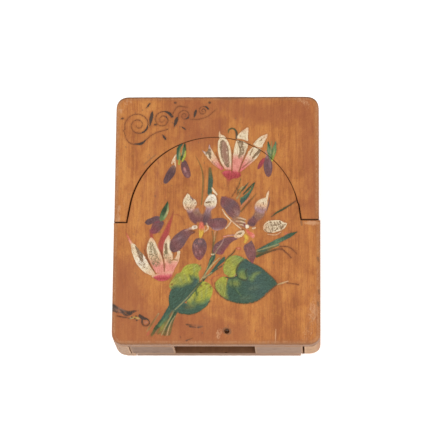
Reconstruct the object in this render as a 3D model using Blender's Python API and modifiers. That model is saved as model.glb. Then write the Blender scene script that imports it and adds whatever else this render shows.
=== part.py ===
# A wooden pocket watch case made of glued boards, lying on its back.
# Metres. +Z points out of the painted front, +Y to the end with the arch, +X to its right.
# The origin is under the middle of the case, on the surface that it lies on.
# The case proper is a keyhole block between a back board and an arched front board. Its cover is
# the lower front board with a round tongue, on two rails that run along the sides of the block.

from math import acos, atan2, cos, hypot, pi, radians, sin

import bmesh
import bpy
from mathutils import Matrix

# The watch, and the block around it
WATCH_DIAMETER = 0.0500
WATCH_PLAY = 0.0010
BLOCK_WALL = 0.00575
KEYHOLE_OFFSET = -0.0006
BOW_CHANNEL_WIDTH = 0.0291

# The rails of the cover, which hook under the block
RAIL_WIDTH = 0.0058
LEFT_LIP = 0.0017
RIGHT_LIP = 0.0010
LEFT_PLAY = 0.0003
RIGHT_PLAY = 0.0006
WORN_END_LENGTH = 0.0032

# The three layers
BACK_THICKNESS = 0.00435
BLOCK_THICKNESS = 0.0128
FRONT_THICKNESS = 0.00425
GLUE_GAP = 0.0003

# The seam between the two front boards: a shoulder at each side, and the arch between them
SHOULDER_HEIGHT = 0.04604
LEFT_SHOULDER_DROP = 0.0010
LEFT_SHOULDER_WIDTH = 0.00456
RIGHT_SHOULDER_WIDTH = 0.00652
SHOULDER_GAP = 0.0003
ARCH_FLARE = 0.0006
ARCH_FOOT_ANGLE = radians(12)
ARCH_GAP = 0.0004
TONGUE_SHIFT = 0.0001
WOOD_ABOVE_ARCH = 0.0156

# How far the upper boards stand back from the sides of the cover
LEFT_STEP = 0.00012
RIGHT_STEP = 0.00047

# Corners, worn edges, and the hole near the cover's lower edge
CORNER_RADIUS = 0.0040
EDGE_ROUND = 0.0010
PIN_HOLE_DIAMETER = 0.0020
PIN_HOLE_HEIGHT = 0.0049
PIN_HOLE_OFFSET = 0.0047

# Facets of the round forms
ARCH_STEPS = 48
RECESS_STEPS = 56
CORNER_STEPS = 6
EDGE_STEPS = 3
PIN_HOLE_SIDES = 20

# Widths, from the watch outwards
recess_radius = (WATCH_DIAMETER + WATCH_PLAY) / 2
slider_width = 2 * (recess_radius + BLOCK_WALL)
case_width = slider_width + LEFT_PLAY + RIGHT_PLAY + 2 * RAIL_WIDTH
cover_left = -case_width / 2
cover_right = case_width / 2
upper_left = cover_left + LEFT_STEP
upper_right = cover_right - RIGHT_STEP
rail_left = cover_left + RAIL_WIDTH
rail_right = cover_right - RAIL_WIDTH
slider_left = rail_left + LEFT_PLAY
slider_right = rail_right - RIGHT_PLAY
keyhole_x = (slider_left + slider_right) / 2 + KEYHOLE_OFFSET

# The arch, as the middle line of its seam
foot_left = upper_left + LEFT_SHOULDER_WIDTH
foot_right = upper_right - RIGHT_SHOULDER_WIDTH
arch_x = (foot_left + foot_right) / 2
arch_radius = (foot_right - foot_left) / 2 - ARCH_FLARE

# Heights along the front, from the lower end to the upper one
case_height = SHOULDER_HEIGHT + arch_radius + WOOD_ABOVE_ARCH
bottom = -case_height / 2
top = case_height / 2
arch_y = bottom + SHOULDER_HEIGHT
upper_shoulders = (arch_y - LEFT_SHOULDER_DROP + SHOULDER_GAP / 2, arch_y + SHOULDER_GAP / 2)
cover_shoulders = (arch_y - LEFT_SHOULDER_DROP - SHOULDER_GAP / 2, arch_y - SHOULDER_GAP / 2)

# Levels of the layers, from the back to the front
block_low = BACK_THICKNESS + GLUE_GAP
block_high = block_low + BLOCK_THICKNESS
front_low = block_high + GLUE_GAP
front_high = front_low + FRONT_THICKNESS


def clear_scene():
    for thing in list(bpy.data.objects):
        bpy.data.objects.remove(thing, do_unlink=True)


def new_collection(name):
    made = bpy.data.collections.new(name)
    bpy.context.scene.collection.children.link(made)
    return made


def wood(name, colour, roughness):
    made = bpy.data.materials.new(name)
    made.use_nodes = True
    shader = made.node_tree.nodes["Principled BSDF"]
    shader.inputs["Base Color"].default_value = (*colour, 1)
    shader.inputs["Roughness"].default_value = roughness
    shader.inputs["Metallic"].default_value = 0
    return made


def arc(x, y, radius, start, end, steps):
    # Points on an arc, with both ends.
    angles = [start + (end - start) * i / steps for i in range(steps + 1)]
    return [(x + radius * cos(a), y + radius * sin(a)) for a in angles]


def arch(offset, shift, shoulders):
    # One side of the arched seam, from its right foot to its left foot: an arc on two short
    # straight legs that flare out. The offset widens it and the shift moves it to the right.
    radius = arch_radius + offset
    curve = arc(arch_x + shift, arch_y, radius, ARCH_FOOT_ANGLE, pi - ARCH_FOOT_ANGLE, ARCH_STEPS)
    left, right = shoulders
    right_foot = (foot_right + offset + shift, right)
    left_foot = (foot_left - offset + shift, left)
    return [right_foot] + curve + [left_foot]


def upper_end():
    # The upper end of the case with its two rounded corners, from the right to the left.
    r = CORNER_RADIUS
    right_corner = arc(upper_right - r, top - r, r, 0, pi / 2, CORNER_STEPS)
    left_corner = arc(upper_left + r, top - r, r, pi / 2, pi, CORNER_STEPS)
    return right_corner + left_corner


def lower_left_corner():
    r = CORNER_RADIUS
    return arc(cover_left + r, bottom + r, r, pi, 1.5 * pi, CORNER_STEPS)


def lower_right_corner():
    r = CORNER_RADIUS
    return arc(cover_right - r, bottom + r, r, 1.5 * pi, 2 * pi, CORNER_STEPS)


def board(name, outline, low, high, material, owner):
    # A flat board between two levels, from a filled outline, as a closed mesh with plain faces.
    curve = bpy.data.curves.new(name, "CURVE")
    curve.dimensions = "2D"
    curve.fill_mode = "BOTH"
    curve.extrude = (high - low) / 2
    line = curve.splines.new("POLY")
    line.points.add(len(outline) - 1)
    for point, (x, y) in zip(line.points, outline):
        point.co = (x, y, 0, 1)
    line.use_cyclic_u = True
    drawn = bpy.data.objects.new(name + "_outline", curve)
    owner.objects.link(drawn)
    seen = drawn.evaluated_get(bpy.context.evaluated_depsgraph_get())
    mesh = bpy.data.meshes.new_from_object(seen)
    bpy.data.objects.remove(drawn)
    work = bmesh.new()
    work.from_mesh(mesh)
    bmesh.ops.remove_doubles(work, verts=work.verts, dist=1e-6)
    bmesh.ops.dissolve_limit(work, angle_limit=radians(0.5), verts=work.verts, edges=work.edges)
    bmesh.ops.recalc_face_normals(work, faces=work.faces)
    work.to_mesh(mesh)
    work.free()
    mesh.name = name
    mesh.materials.clear()
    mesh.materials.append(material)
    made = bpy.data.objects.new(name, mesh)
    made.location.z = (low + high) / 2
    owner.objects.link(made)
    return made


def as_cutter(piece):
    # Shapes that only cut or join others are kept out of sight.
    for owner in list(piece.users_collection):
        owner.objects.unlink(piece)
    cutters.objects.link(piece)
    piece.hide_render = True
    piece.display_type = "WIRE"
    return piece


def combine(piece, other, operation):
    step = piece.modifiers.new(other.name, "BOOLEAN")
    step.operation = operation
    step.object = other


def off_outline(x, y, left, right, low, high):
    # How far a point lies from the outline of a rectangle with the case's rounded corners.
    across = abs(x - (left + right) / 2) - (right - left) / 2 + CORNER_RADIUS
    along = abs(y - (low + high) / 2) - (high - low) / 2 + CORNER_RADIUS
    beyond = hypot(max(across, 0), max(along, 0))
    return abs(beyond + min(max(across, along), 0) - CORNER_RADIUS)


def wear_edges(piece, level, outside):
    # Rounds the edges at one level that lie on the outside of the case, and leaves the seams sharp.
    mesh = piece.data
    weights = mesh.attributes.new("bevel_weight_edge", "FLOAT", "EDGE")
    near = EDGE_ROUND / 20
    for edge in mesh.edges:
        ends = [mesh.vertices[i].co for i in edge.vertices]
        at_level = all(abs(p.z + piece.location.z - level) < near for p in ends)
        on_outside = all(off_outline(p.x, p.y, *outside) < near for p in ends)
        weights.data[edge.index].value = float(at_level and on_outside)
    rounding = piece.modifiers.new("worn edges", "BEVEL")
    rounding.limit_method = "WEIGHT"
    rounding.width = EDGE_ROUND
    rounding.segments = EDGE_STEPS


def make_back_board():
    # Full width above the shoulders, and narrow between the lips of the rails below them.
    left = rail_left + LEFT_LIP + LEFT_PLAY
    right = rail_right - RIGHT_LIP - LEFT_PLAY
    low_left, low_right = upper_shoulders
    outline = [(left, bottom), (right, bottom), (right, low_right), (upper_right, low_right)]
    outline += upper_end()
    outline += [(upper_left, low_left), (left, low_left)]
    piece = board("back_board", outline, 0, BACK_THICKNESS, back_wood, parts)
    wear_edges(piece, 0, upper_outside)
    return piece


def make_watch_block():
    # Full width above the shoulders, a slider between the rails below them, and a keyhole cut right
    # through: the round recess of the watch, with a channel for its bow down to the lower end.
    low_left, low_right = upper_shoulders
    channel_left = keyhole_x - BOW_CHANNEL_WIDTH / 2
    channel_right = keyhole_x + BOW_CHANNEL_WIDTH / 2
    mouth = acos(BOW_CHANNEL_WIDTH / 2 / recess_radius)
    outline = [(slider_left, bottom), (channel_left, bottom)]
    outline += arc(keyhole_x, arch_y, recess_radius, pi + mouth, -mouth, RECESS_STEPS)
    outline += [(channel_right, bottom), (slider_right, bottom)]
    outline += [(slider_right, low_right), (upper_right, low_right)]
    outline += upper_end()
    outline += [(upper_left, low_left), (slider_left, low_left)]
    return board("watch_block", outline, block_low, block_high, block_wood, parts)


def make_arch_panel():
    # The upper front board, with the round cut that takes the cover's tongue.
    low_left, low_right = upper_shoulders
    outline = [(upper_right, low_right)] + upper_end() + [(upper_left, low_left)]
    outline += reversed(arch(ARCH_GAP / 2, 0, upper_shoulders))
    piece = board("arch_panel", outline, front_low, front_high, front_wood, parts)
    wear_edges(piece, front_high, upper_outside)
    return piece


def make_cover_panel():
    # The lower front board with its round tongue, and the small hole near its lower edge.
    left, right = cover_shoulders
    outline = lower_left_corner() + lower_right_corner() + [(cover_right, right)]
    outline += arch(-ARCH_GAP / 2, TONGUE_SHIFT, cover_shoulders) + [(cover_left, left)]
    piece = board("cover_panel", outline, front_low, front_high, front_wood, parts)
    wear_edges(piece, front_high, cover_outside)
    place = (keyhole_x + PIN_HOLE_OFFSET, bottom + PIN_HOLE_HEIGHT, (front_low + front_high) / 2)
    bpy.ops.mesh.primitive_cylinder_add(
        vertices=PIN_HOLE_SIDES,
        radius=PIN_HOLE_DIAMETER / 2,
        depth=2 * FRONT_THICKNESS,
        location=place,
    )
    hole = as_cutter(bpy.context.object)
    hole.name = "pin_hole"
    combine(piece, hole, "DIFFERENCE")
    return piece


def make_rail(name, wall, inner, tip, shoulder):
    # A rail of the cover: its wall stands beside the block, and its lip hooks under the block.
    # Inner is the face next to the block, and tip is where the lip ends.
    piece = board(name, wall, 0, block_high, rail_wood, parts)
    wear_edges(piece, 0, cover_outside)
    root = inner + (inner - tip)
    strip = [(root, bottom), (tip, bottom), (tip, shoulder), (root, shoulder)]
    lip = board(name + "_lip", strip, 0, BACK_THICKNESS, rail_wood, parts)
    combine(piece, as_cutter(lip), "UNION")
    return piece


def make_left_rail():
    shoulder = cover_shoulders[0]
    wall = lower_left_corner() + [(rail_left, bottom), (rail_left, shoulder), (cover_left, shoulder)]
    return make_rail("left_rail", wall, rail_left, rail_left + LEFT_LIP, shoulder)


def make_right_rail():
    # The lower end of this rail has lost its back corner, lip and all, to wear.
    shoulder = cover_shoulders[1]
    wall = [(rail_right, bottom)] + lower_right_corner()
    wall += [(cover_right, shoulder), (rail_right, shoulder)]
    piece = make_rail("right_rail", wall, rail_right, rail_right - RIGHT_LIP, shoulder)
    slope = atan2(BACK_THICKNESS, WORN_END_LENGTH)
    half = case_width / 4
    y = bottom + WORN_END_LENGTH / 2 - half * sin(slope)
    z = BACK_THICKNESS / 2 - half * cos(slope)
    bpy.ops.mesh.primitive_cube_add(
        size=2 * half,
        location=(rail_right, y, z),
        rotation=(-slope, 0, 0),
    )
    worn = as_cutter(bpy.context.object)
    worn.name = "worn_end"
    combine(piece, worn, "DIFFERENCE")
    return piece


def hang_on(pieces, name, place):
    # An empty that moves its pieces together.
    holder = bpy.data.objects.new(name, None)
    holder.empty_display_size = case_width / 4
    holder.location = place
    parts.objects.link(holder)
    for piece in pieces:
        piece.parent = holder
        piece.matrix_parent_inverse = Matrix.Translation(place).inverted()


clear_scene()
parts = new_collection("pocket watch case")
cutters = new_collection("cutters")

# The outside of the case at the back and the front, open-ended where the other boards go on
upper_outside = (upper_left, upper_right, bottom - case_height, top)
cover_outside = (cover_left, cover_right, bottom, top + case_height)

front_wood = wood("front board wood", (0.52, 0.22, 0.075), 0.5)
rail_wood = wood("rail wood", (0.58, 0.36, 0.22), 0.6)
block_wood = wood("block wood", (0.36, 0.22, 0.14), 0.65)
back_wood = wood("back board wood", (0.48, 0.26, 0.13), 0.6)

case_pieces = [make_back_board(), make_watch_block(), make_arch_panel()]
cover_pieces = [make_cover_panel(), make_left_rail(), make_right_rail()]
hang_on(case_pieces, "case", (0, 0, 0))
hang_on(cover_pieces, "cover", (0, bottom, 0))
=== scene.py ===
# The looks of a small painted watch case: worn boards, seams, glue lines and a hand-painted front.
# Lengths in the settings are millimetres in the frame's axes: +X to the right, +Y to the arch, +Z out of
# the painted front.
import math
from random import Random

import bmesh
import bpy
import numpy as np
from mathutils import Matrix, Vector, geometry, kdtree, noise


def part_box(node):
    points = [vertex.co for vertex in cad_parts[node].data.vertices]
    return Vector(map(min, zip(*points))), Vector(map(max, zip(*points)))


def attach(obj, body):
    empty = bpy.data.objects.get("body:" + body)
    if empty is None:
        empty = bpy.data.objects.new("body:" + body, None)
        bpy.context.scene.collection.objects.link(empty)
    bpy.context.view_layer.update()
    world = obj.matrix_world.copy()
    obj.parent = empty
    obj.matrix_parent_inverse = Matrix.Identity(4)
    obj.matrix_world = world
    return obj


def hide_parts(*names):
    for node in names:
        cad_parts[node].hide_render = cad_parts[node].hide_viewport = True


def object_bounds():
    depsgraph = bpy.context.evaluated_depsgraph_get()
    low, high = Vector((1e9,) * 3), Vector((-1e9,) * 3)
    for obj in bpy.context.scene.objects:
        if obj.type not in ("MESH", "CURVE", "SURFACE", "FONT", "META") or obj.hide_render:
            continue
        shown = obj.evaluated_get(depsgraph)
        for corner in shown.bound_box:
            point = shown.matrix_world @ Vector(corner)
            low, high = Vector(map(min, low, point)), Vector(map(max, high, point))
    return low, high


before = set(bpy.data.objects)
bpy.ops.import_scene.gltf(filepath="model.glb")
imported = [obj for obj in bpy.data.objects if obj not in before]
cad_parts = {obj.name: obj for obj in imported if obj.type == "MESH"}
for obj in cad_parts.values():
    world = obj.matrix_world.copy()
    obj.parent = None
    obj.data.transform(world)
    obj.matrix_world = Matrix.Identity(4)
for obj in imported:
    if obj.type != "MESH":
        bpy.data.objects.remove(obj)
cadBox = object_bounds()
mm = 0.001
print("frame loaded:", ", ".join(sorted(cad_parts)))


# Camera, floor and light

cameraSetup = {
    "tilt": 14.01,  # degrees from straight above, towards the lower end
    "yaw": 2.51,
    "roll": 0.532,
    "distance": 865.2,
    "aim": (-0.31, 1.04, 22.0),
    "lens": 198.7,
    "sensor": 36.0,
}


def makeCamera(setup):
    tilt, yaw, roll = (math.radians(setup[name]) for name in ("tilt", "yaw", "roll"))
    back = Vector((math.sin(yaw) * math.cos(tilt), -math.sin(tilt), math.cos(yaw) * math.cos(tilt)))
    right = Vector((math.cos(yaw), 0, -math.sin(yaw)))
    up = back.cross(right)
    rolledRight = math.cos(roll) * right + math.sin(roll) * up
    rolledUp = math.cos(roll) * up - math.sin(roll) * right
    data = bpy.data.cameras.new("photoCamera")
    data.lens = setup["lens"]
    data.sensor_width = setup["sensor"]
    data.clip_start = 0.01
    camera = bpy.data.objects.new("photoCamera", data)
    bpy.context.scene.collection.objects.link(camera)
    place = (Vector(setup["aim"]) + setup["distance"] * back) * mm
    turned = Matrix((rolledRight, rolledUp, back))
    camera.matrix_world = Matrix.Translation(place) @ turned.transposed().to_4x4()
    bpy.context.scene.camera = camera


stageSetup = {
    "floorReach": 3.0,  # metres
    "floorDrop": 0.00002,
    "floorTone": 0.93,
    "floorGlow": 0.4,  # lifts the soft shadow around the case
    "worldTone": (0.97, 0.985, 1.0),
    "worldStrength": 0.6,
}

lightSetup = {
    "topLight": {"place": (-0.25, -0.05, 1.2), "size": 1.2, "power": 7.2, "tone": (1.0, 0.985, 0.96)},
    "sideLight": {"place": (0.6, -0.6, 0.9), "size": 0.9, "power": 4.0, "tone": (1.0, 0.98, 0.95)},
}


def makeStage(setup):
    reach = setup["floorReach"]
    data = bpy.data.meshes.new("floor")
    corners = [(-reach, -reach, 0), (reach, -reach, 0), (reach, reach, 0), (-reach, reach, 0)]
    data.from_pydata(corners, [], [(0, 1, 2, 3)])
    floor = bpy.data.objects.new("floor", data)
    floor.location.z = -setup["floorDrop"]
    bpy.context.scene.collection.objects.link(floor)
    material = bpy.data.materials.new("paleFloor")
    material.use_nodes = True
    shader = material.node_tree.nodes["Principled BSDF"]
    shader.inputs["Base Color"].default_value = (setup["floorTone"],) * 3 + (1,)
    shader.inputs["Roughness"].default_value = 0.9
    shader.inputs["Specular IOR Level"].default_value = 0.1
    shader.inputs["Emission Color"].default_value = (1, 1, 1, 1)
    shader.inputs["Emission Strength"].default_value = setup["floorGlow"]
    data.materials.append(material)
    world = bpy.data.worlds.new("softRoom")
    world.use_nodes = True
    backdrop = world.node_tree.nodes["Background"]
    backdrop.inputs["Color"].default_value = setup["worldTone"] + (1,)
    backdrop.inputs["Strength"].default_value = setup["worldStrength"]
    bpy.context.scene.world = world
    bpy.context.scene.view_settings.view_transform = "Standard"
    bpy.context.scene.view_settings.look = "None"


def makeLights(lights, target):
    for name, setup in lights.items():
        data = bpy.data.lights.new(name, "AREA")
        data.shape = "DISK"
        data.size = setup["size"]
        data.energy = setup["power"]
        data.color = setup["tone"]
        light = bpy.data.objects.new(name, data)
        bpy.context.scene.collection.objects.link(light)
        light.location = setup["place"]
        light.rotation_euler = (target - light.location).to_track_quat("-Z", "Y").to_euler()


middle = (cadBox[0] + cadBox[1]) / 2
makeCamera(cameraSetup)
makeStage(stageSetup)
makeLights(lightSetup, middle)
print("camera, floor and light are set")


# Shader maths


class Wire:  # a socket that shader maths is written with
    def __init__(self, tree, socket=None):
        self.tree = tree
        self.socket = socket

    def node(self, kind, settings, values, out=0):
        made = self.tree.nodes.new(kind)
        for name, setting in settings.items():
            if name == "stops":
                ramp = made.color_ramp
                while len(ramp.elements) < len(setting):
                    ramp.elements.new(1.0)
                for element, (spot, colour) in zip(ramp.elements, setting):
                    element.position = spot
                    element.color = colour
            else:
                setattr(made, name, setting)
        for name, value in values.items():
            if isinstance(value, Wire):
                self.tree.links.new(value.socket, made.inputs[name])
            else:
                made.inputs[name].default_value = value
        return Wire(self.tree, made.outputs[out])

    def other(self, name):
        return Wire(self.tree, self.socket.node.outputs[name])

    def math(self, operation, first, second):
        return self.node("ShaderNodeMath", {"operation": operation}, {0: first, 1: second})

    def __add__(self, value):
        return self.math("ADD", self, value)

    __radd__ = __add__

    def __sub__(self, value):
        return self.math("SUBTRACT", self, value)

    def __rsub__(self, value):
        return self.math("SUBTRACT", value, self)

    def __mul__(self, value):
        return self.math("MULTIPLY", self, value)

    __rmul__ = __mul__


def linear(tone):  # a 0 to 255 screen colour as linear light
    shares = np.asarray(tone, float) / 255
    return np.where(shares <= 0.04045, shares / 12.92, ((shares + 0.055) / 1.055) ** 2.4)


def rgba(tone):
    return tuple(float(v) for v in linear(tone)) + (1.0,)


def steps(value, low, high):  # 0 below low, 1 above high, smooth between
    values = {"Value": value, "From Min": low, "From Max": high}
    return value.node("ShaderNodeMapRange", {"interpolation_type": "SMOOTHSTEP"}, values)


def mixed(wire, factor, first, second, kind="MIX"):
    settings = {"data_type": "RGBA", "blend_type": kind}
    return wire.node("ShaderNodeMix", settings, {0: factor, 6: first, 7: second}, out=2)


def speckle(place, stretch, detail=2.0, roughness=0.5, distortion=0.0, shift=(0, 0, 0)):
    values = {0: place, 1: stretch, 2: shift}
    spot = place.node("ShaderNodeVectorMath", {"operation": "MULTIPLY_ADD"}, values)
    look = {"Scale": 1.0, "Detail": detail, "Roughness": roughness, "Distortion": distortion}
    return place.node("ShaderNodeTexNoise", {}, {"Vector": spot, **look})


def startMaterial(name):
    material = bpy.data.materials.new(name)
    material.use_nodes = True
    tree = material.node_tree
    shader = tree.nodes["Principled BSDF"]
    inMetres = Wire(tree).node("ShaderNodeTexCoord", {}, {}, out="Object")
    place = inMetres.node("ShaderNodeVectorMath", {"operation": "SCALE"}, {0: inMetres, "Scale": 1000.0})
    return material, shader, place


def attribute(place, name):  # a three-part attribute of the mesh, as three wires
    whole = place.node("ShaderNodeAttribute", {"attribute_name": name}, {}, out="Vector")
    parts = place.node("ShaderNodeSeparateXYZ", {}, {0: whole})
    return whole, parts, parts.other("Y"), parts.other("Z")


def facing(place):  # how much the surface faces along X, Y and Z, from -1 to 1
    normal = place.node("ShaderNodeTexCoord", {}, {}, out="Normal")
    parts = place.node("ShaderNodeSeparateXYZ", {}, {0: normal})
    return parts, parts.other("Y"), parts.other("Z")


def plug(shader, wire, name):
    wire.tree.links.new(wire.socket, shader.inputs[name])


def plugBump(shader, height, strength, distance=0.001):
    bump = height.node("ShaderNodeBump", {}, {"Height": height, "Strength": strength, "Distance": distance})
    plug(shader, bump, "Normal")


# Outlines taken from the frame


def readBoard(name):  # a node's mesh, welded, in millimetres
    board = bmesh.new()
    board.from_mesh(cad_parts[name].data)
    bmesh.ops.scale(board, vec=(1000, 1000, 1000), verts=board.verts)
    bmesh.ops.remove_doubles(board, verts=board.verts, dist=0.002)
    return board


def lowerOutlines(name):  # the outlines of a node's lowest face, the outer one first and anticlockwise
    board = readBoard(name)
    level = min(v.co.z for v in board.verts)
    flat = {f for f in board.faces if f.normal.z < -0.999 and abs(f.calc_center_median().z - level) < 0.01}
    rim = [e for e in board.edges if sum(f in flat for f in e.link_faces) == 1]
    ways = {}
    for edge in rim:
        for vert in edge.verts:
            ways.setdefault(vert, []).append(edge.other_vert(vert))
    outlines = []
    while ways:
        here = next(iter(ways))
        walk = []
        while here in ways:
            walk.append((here.co.x, here.co.y))
            onward = ways.pop(here)
            here = next((v for v in onward if v in ways), here)
        outlines.append(np.array(walk))
    board.free()
    outlines.sort(key=lambda walk: -abs(turnArea(walk)))
    return [walk if (turnArea(walk) > 0) == (k == 0) else walk[::-1] for k, walk in enumerate(outlines)]


def turnArea(walk):
    onward = np.roll(walk, -1, 0)
    return 0.5 * np.sum(walk[:, 0] * onward[:, 1] - walk[:, 1] * onward[:, 0])


def evenOutline(corners, step, sharpTurn=25.0, passes=24):
    # points at even steps, with round stretches smoothed and sharp corners kept
    onward = np.roll(corners, -1, 0)
    before = corners - np.roll(corners, 1, 0)
    after = onward - corners
    turns = np.abs(np.arctan2(
        before[:, 0] * after[:, 1] - before[:, 1] * after[:, 0], (before * after).sum(1)))
    points, pinned = [], []
    for corner, way, turn in zip(corners, after, turns):
        count = max(1, math.ceil(float(np.hypot(*way)) / step))
        for k in range(count):
            points.append(corner + way * k / count)
            pinned.append(k == 0 and turn > math.radians(sharpTurn))
    points, free = np.array(points), ~np.array(pinned)
    for _ in range(passes):
        centres = (np.roll(points, 1, 0) + np.roll(points, -1, 0)) / 2
        points[free] += 0.5 * (centres - points)[free]
    return points


def outward(points):  # unit normals that point away from the material
    way = np.roll(points, -1, 0) - np.roll(points, 1, 0)
    way /= np.hypot(way[:, 0], way[:, 1])[:, None]
    return np.stack([way[:, 1], -way[:, 0]], 1)


def treeOf(points):
    tree = kdtree.KDTree(len(points))
    for k, point in enumerate(points):
        tree.insert((point[0], point[1], point[2] if len(point) > 2 else 0), k)
    tree.balance()
    return tree


def gapTo(tree, places):
    return np.array([tree.find((p[0], p[1], p[2] if len(p) > 2 else 0))[2] for p in places])


def gapToOutline(outline, chosen, places):  # distance to the chosen stretches of an outline
    picks = np.flatnonzero(chosen)
    if not len(picks):
        return np.full(len(places), 99.0)
    tree = treeOf(outline[picks])
    nearest = picks[[tree.find((p[0], p[1], 0))[1] for p in places]]
    best = np.full(len(places), 99.0)
    for start in (nearest, (nearest - 1) % len(outline)):
        end = (start + 1) % len(outline)
        way = outline[end] - outline[start]
        share = ((places - outline[start]) * way).sum(1) / np.maximum((way * way).sum(1), 1e-9)
        foot = outline[start] + np.clip(share, 0, 1)[:, None] * way
        best = np.minimum(best, np.hypot(*(places - foot).T))
    return best


def fillOutlines(outlines, points):  # a flat triangle mesh through the points, with the outlines as edges
    edges, start = [], 0
    for loop in outlines:
        count = len(loop)
        edges += [(start + k, start + (k + 1) % count) for k in range(count)]
        start += count
    return geometry.delaunay_2d_cdt([Vector(p) for p in points], edges, [], 1, 1e-5)


def openHoles(places, faces, holes):  # leaves out the faces inside the round holes
    for hole in holes:
        centre, reach = hole.mean(0), np.hypot(*(hole - hole.mean(0)).T).max()
        middles = places[faces].mean(1)
        faces = faces[np.hypot(*(middles - centre).T) > reach * 0.985]
    return faces


def wander(places, scale, seed):  # smooth noise from about -1 to 1 for each place
    return np.array([noise.noise((p[0] * scale, p[1] * scale, seed)) for p in places])


# The painting on the front

palette = {
    "cream": (228, 208, 174),
    "warmCream": (224, 182, 144),
    "white": (240, 230, 210),
    "pink": (222, 142, 128),
    "rose": (204, 90, 98),
    "crimson": (168, 62, 66),
    "red": (170, 66, 58),
    "coral": (216, 110, 86),
    "purple": (120, 76, 76),
    "darkPurple": (94, 66, 68),
    "greyPurple": (106, 78, 82),
    "lilac": (172, 136, 140),
    "magenta": (140, 66, 76),
    "teal": (62, 88, 72),
    "blueTeal": (66, 90, 82),
    "seaGreen": (84, 118, 90),
    "darkGreen": (50, 74, 46),
    "midGreen": (108, 134, 82),
    "leafGreen": (146, 150, 68),
    "yellowGreen": (166, 166, 60),
    "yellow": (212, 168, 66),
    "olive": (120, 96, 50),
    "paleOlive": (182, 170, 118),
    "umber": (122, 70, 38),
    "ink": (62, 52, 46),
    "greyBrown": (118, 98, 74),
    "greyGreen": (110, 104, 74),
    "mauveBrown": (144, 108, 90),
}


def smoothLine(points, count):  # a curve through the points, at even shares
    points = np.array(points, float)
    if len(points) == 2:
        shares = np.linspace(0, 1, count)[:, None]
        return points[0] + (points[1] - points[0]) * shares
    ends = np.vstack([2 * points[0] - points[1], points, 2 * points[-1] - points[-2]])
    line = []
    for spot in np.linspace(0, len(points) - 1, count):
        k = min(int(spot), len(points) - 2)
        t = spot - k
        a, b, c, d = ends[k:k + 4]
        line.append(0.5 * (2 * b + (c - a) * t + (2 * a - 5 * b + 4 * c - d) * t**2
                           + (3 * b - a - 3 * c + d) * t**3))
    return np.array(line)


def blend(tones, share):  # palette tones run through by share, from 0 to 1
    stops = np.linspace(0, 1, len(tones))
    return np.stack([np.interp(share, stops, [palette[t][c] for t in tones]) for c in range(3)], 1)


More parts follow.
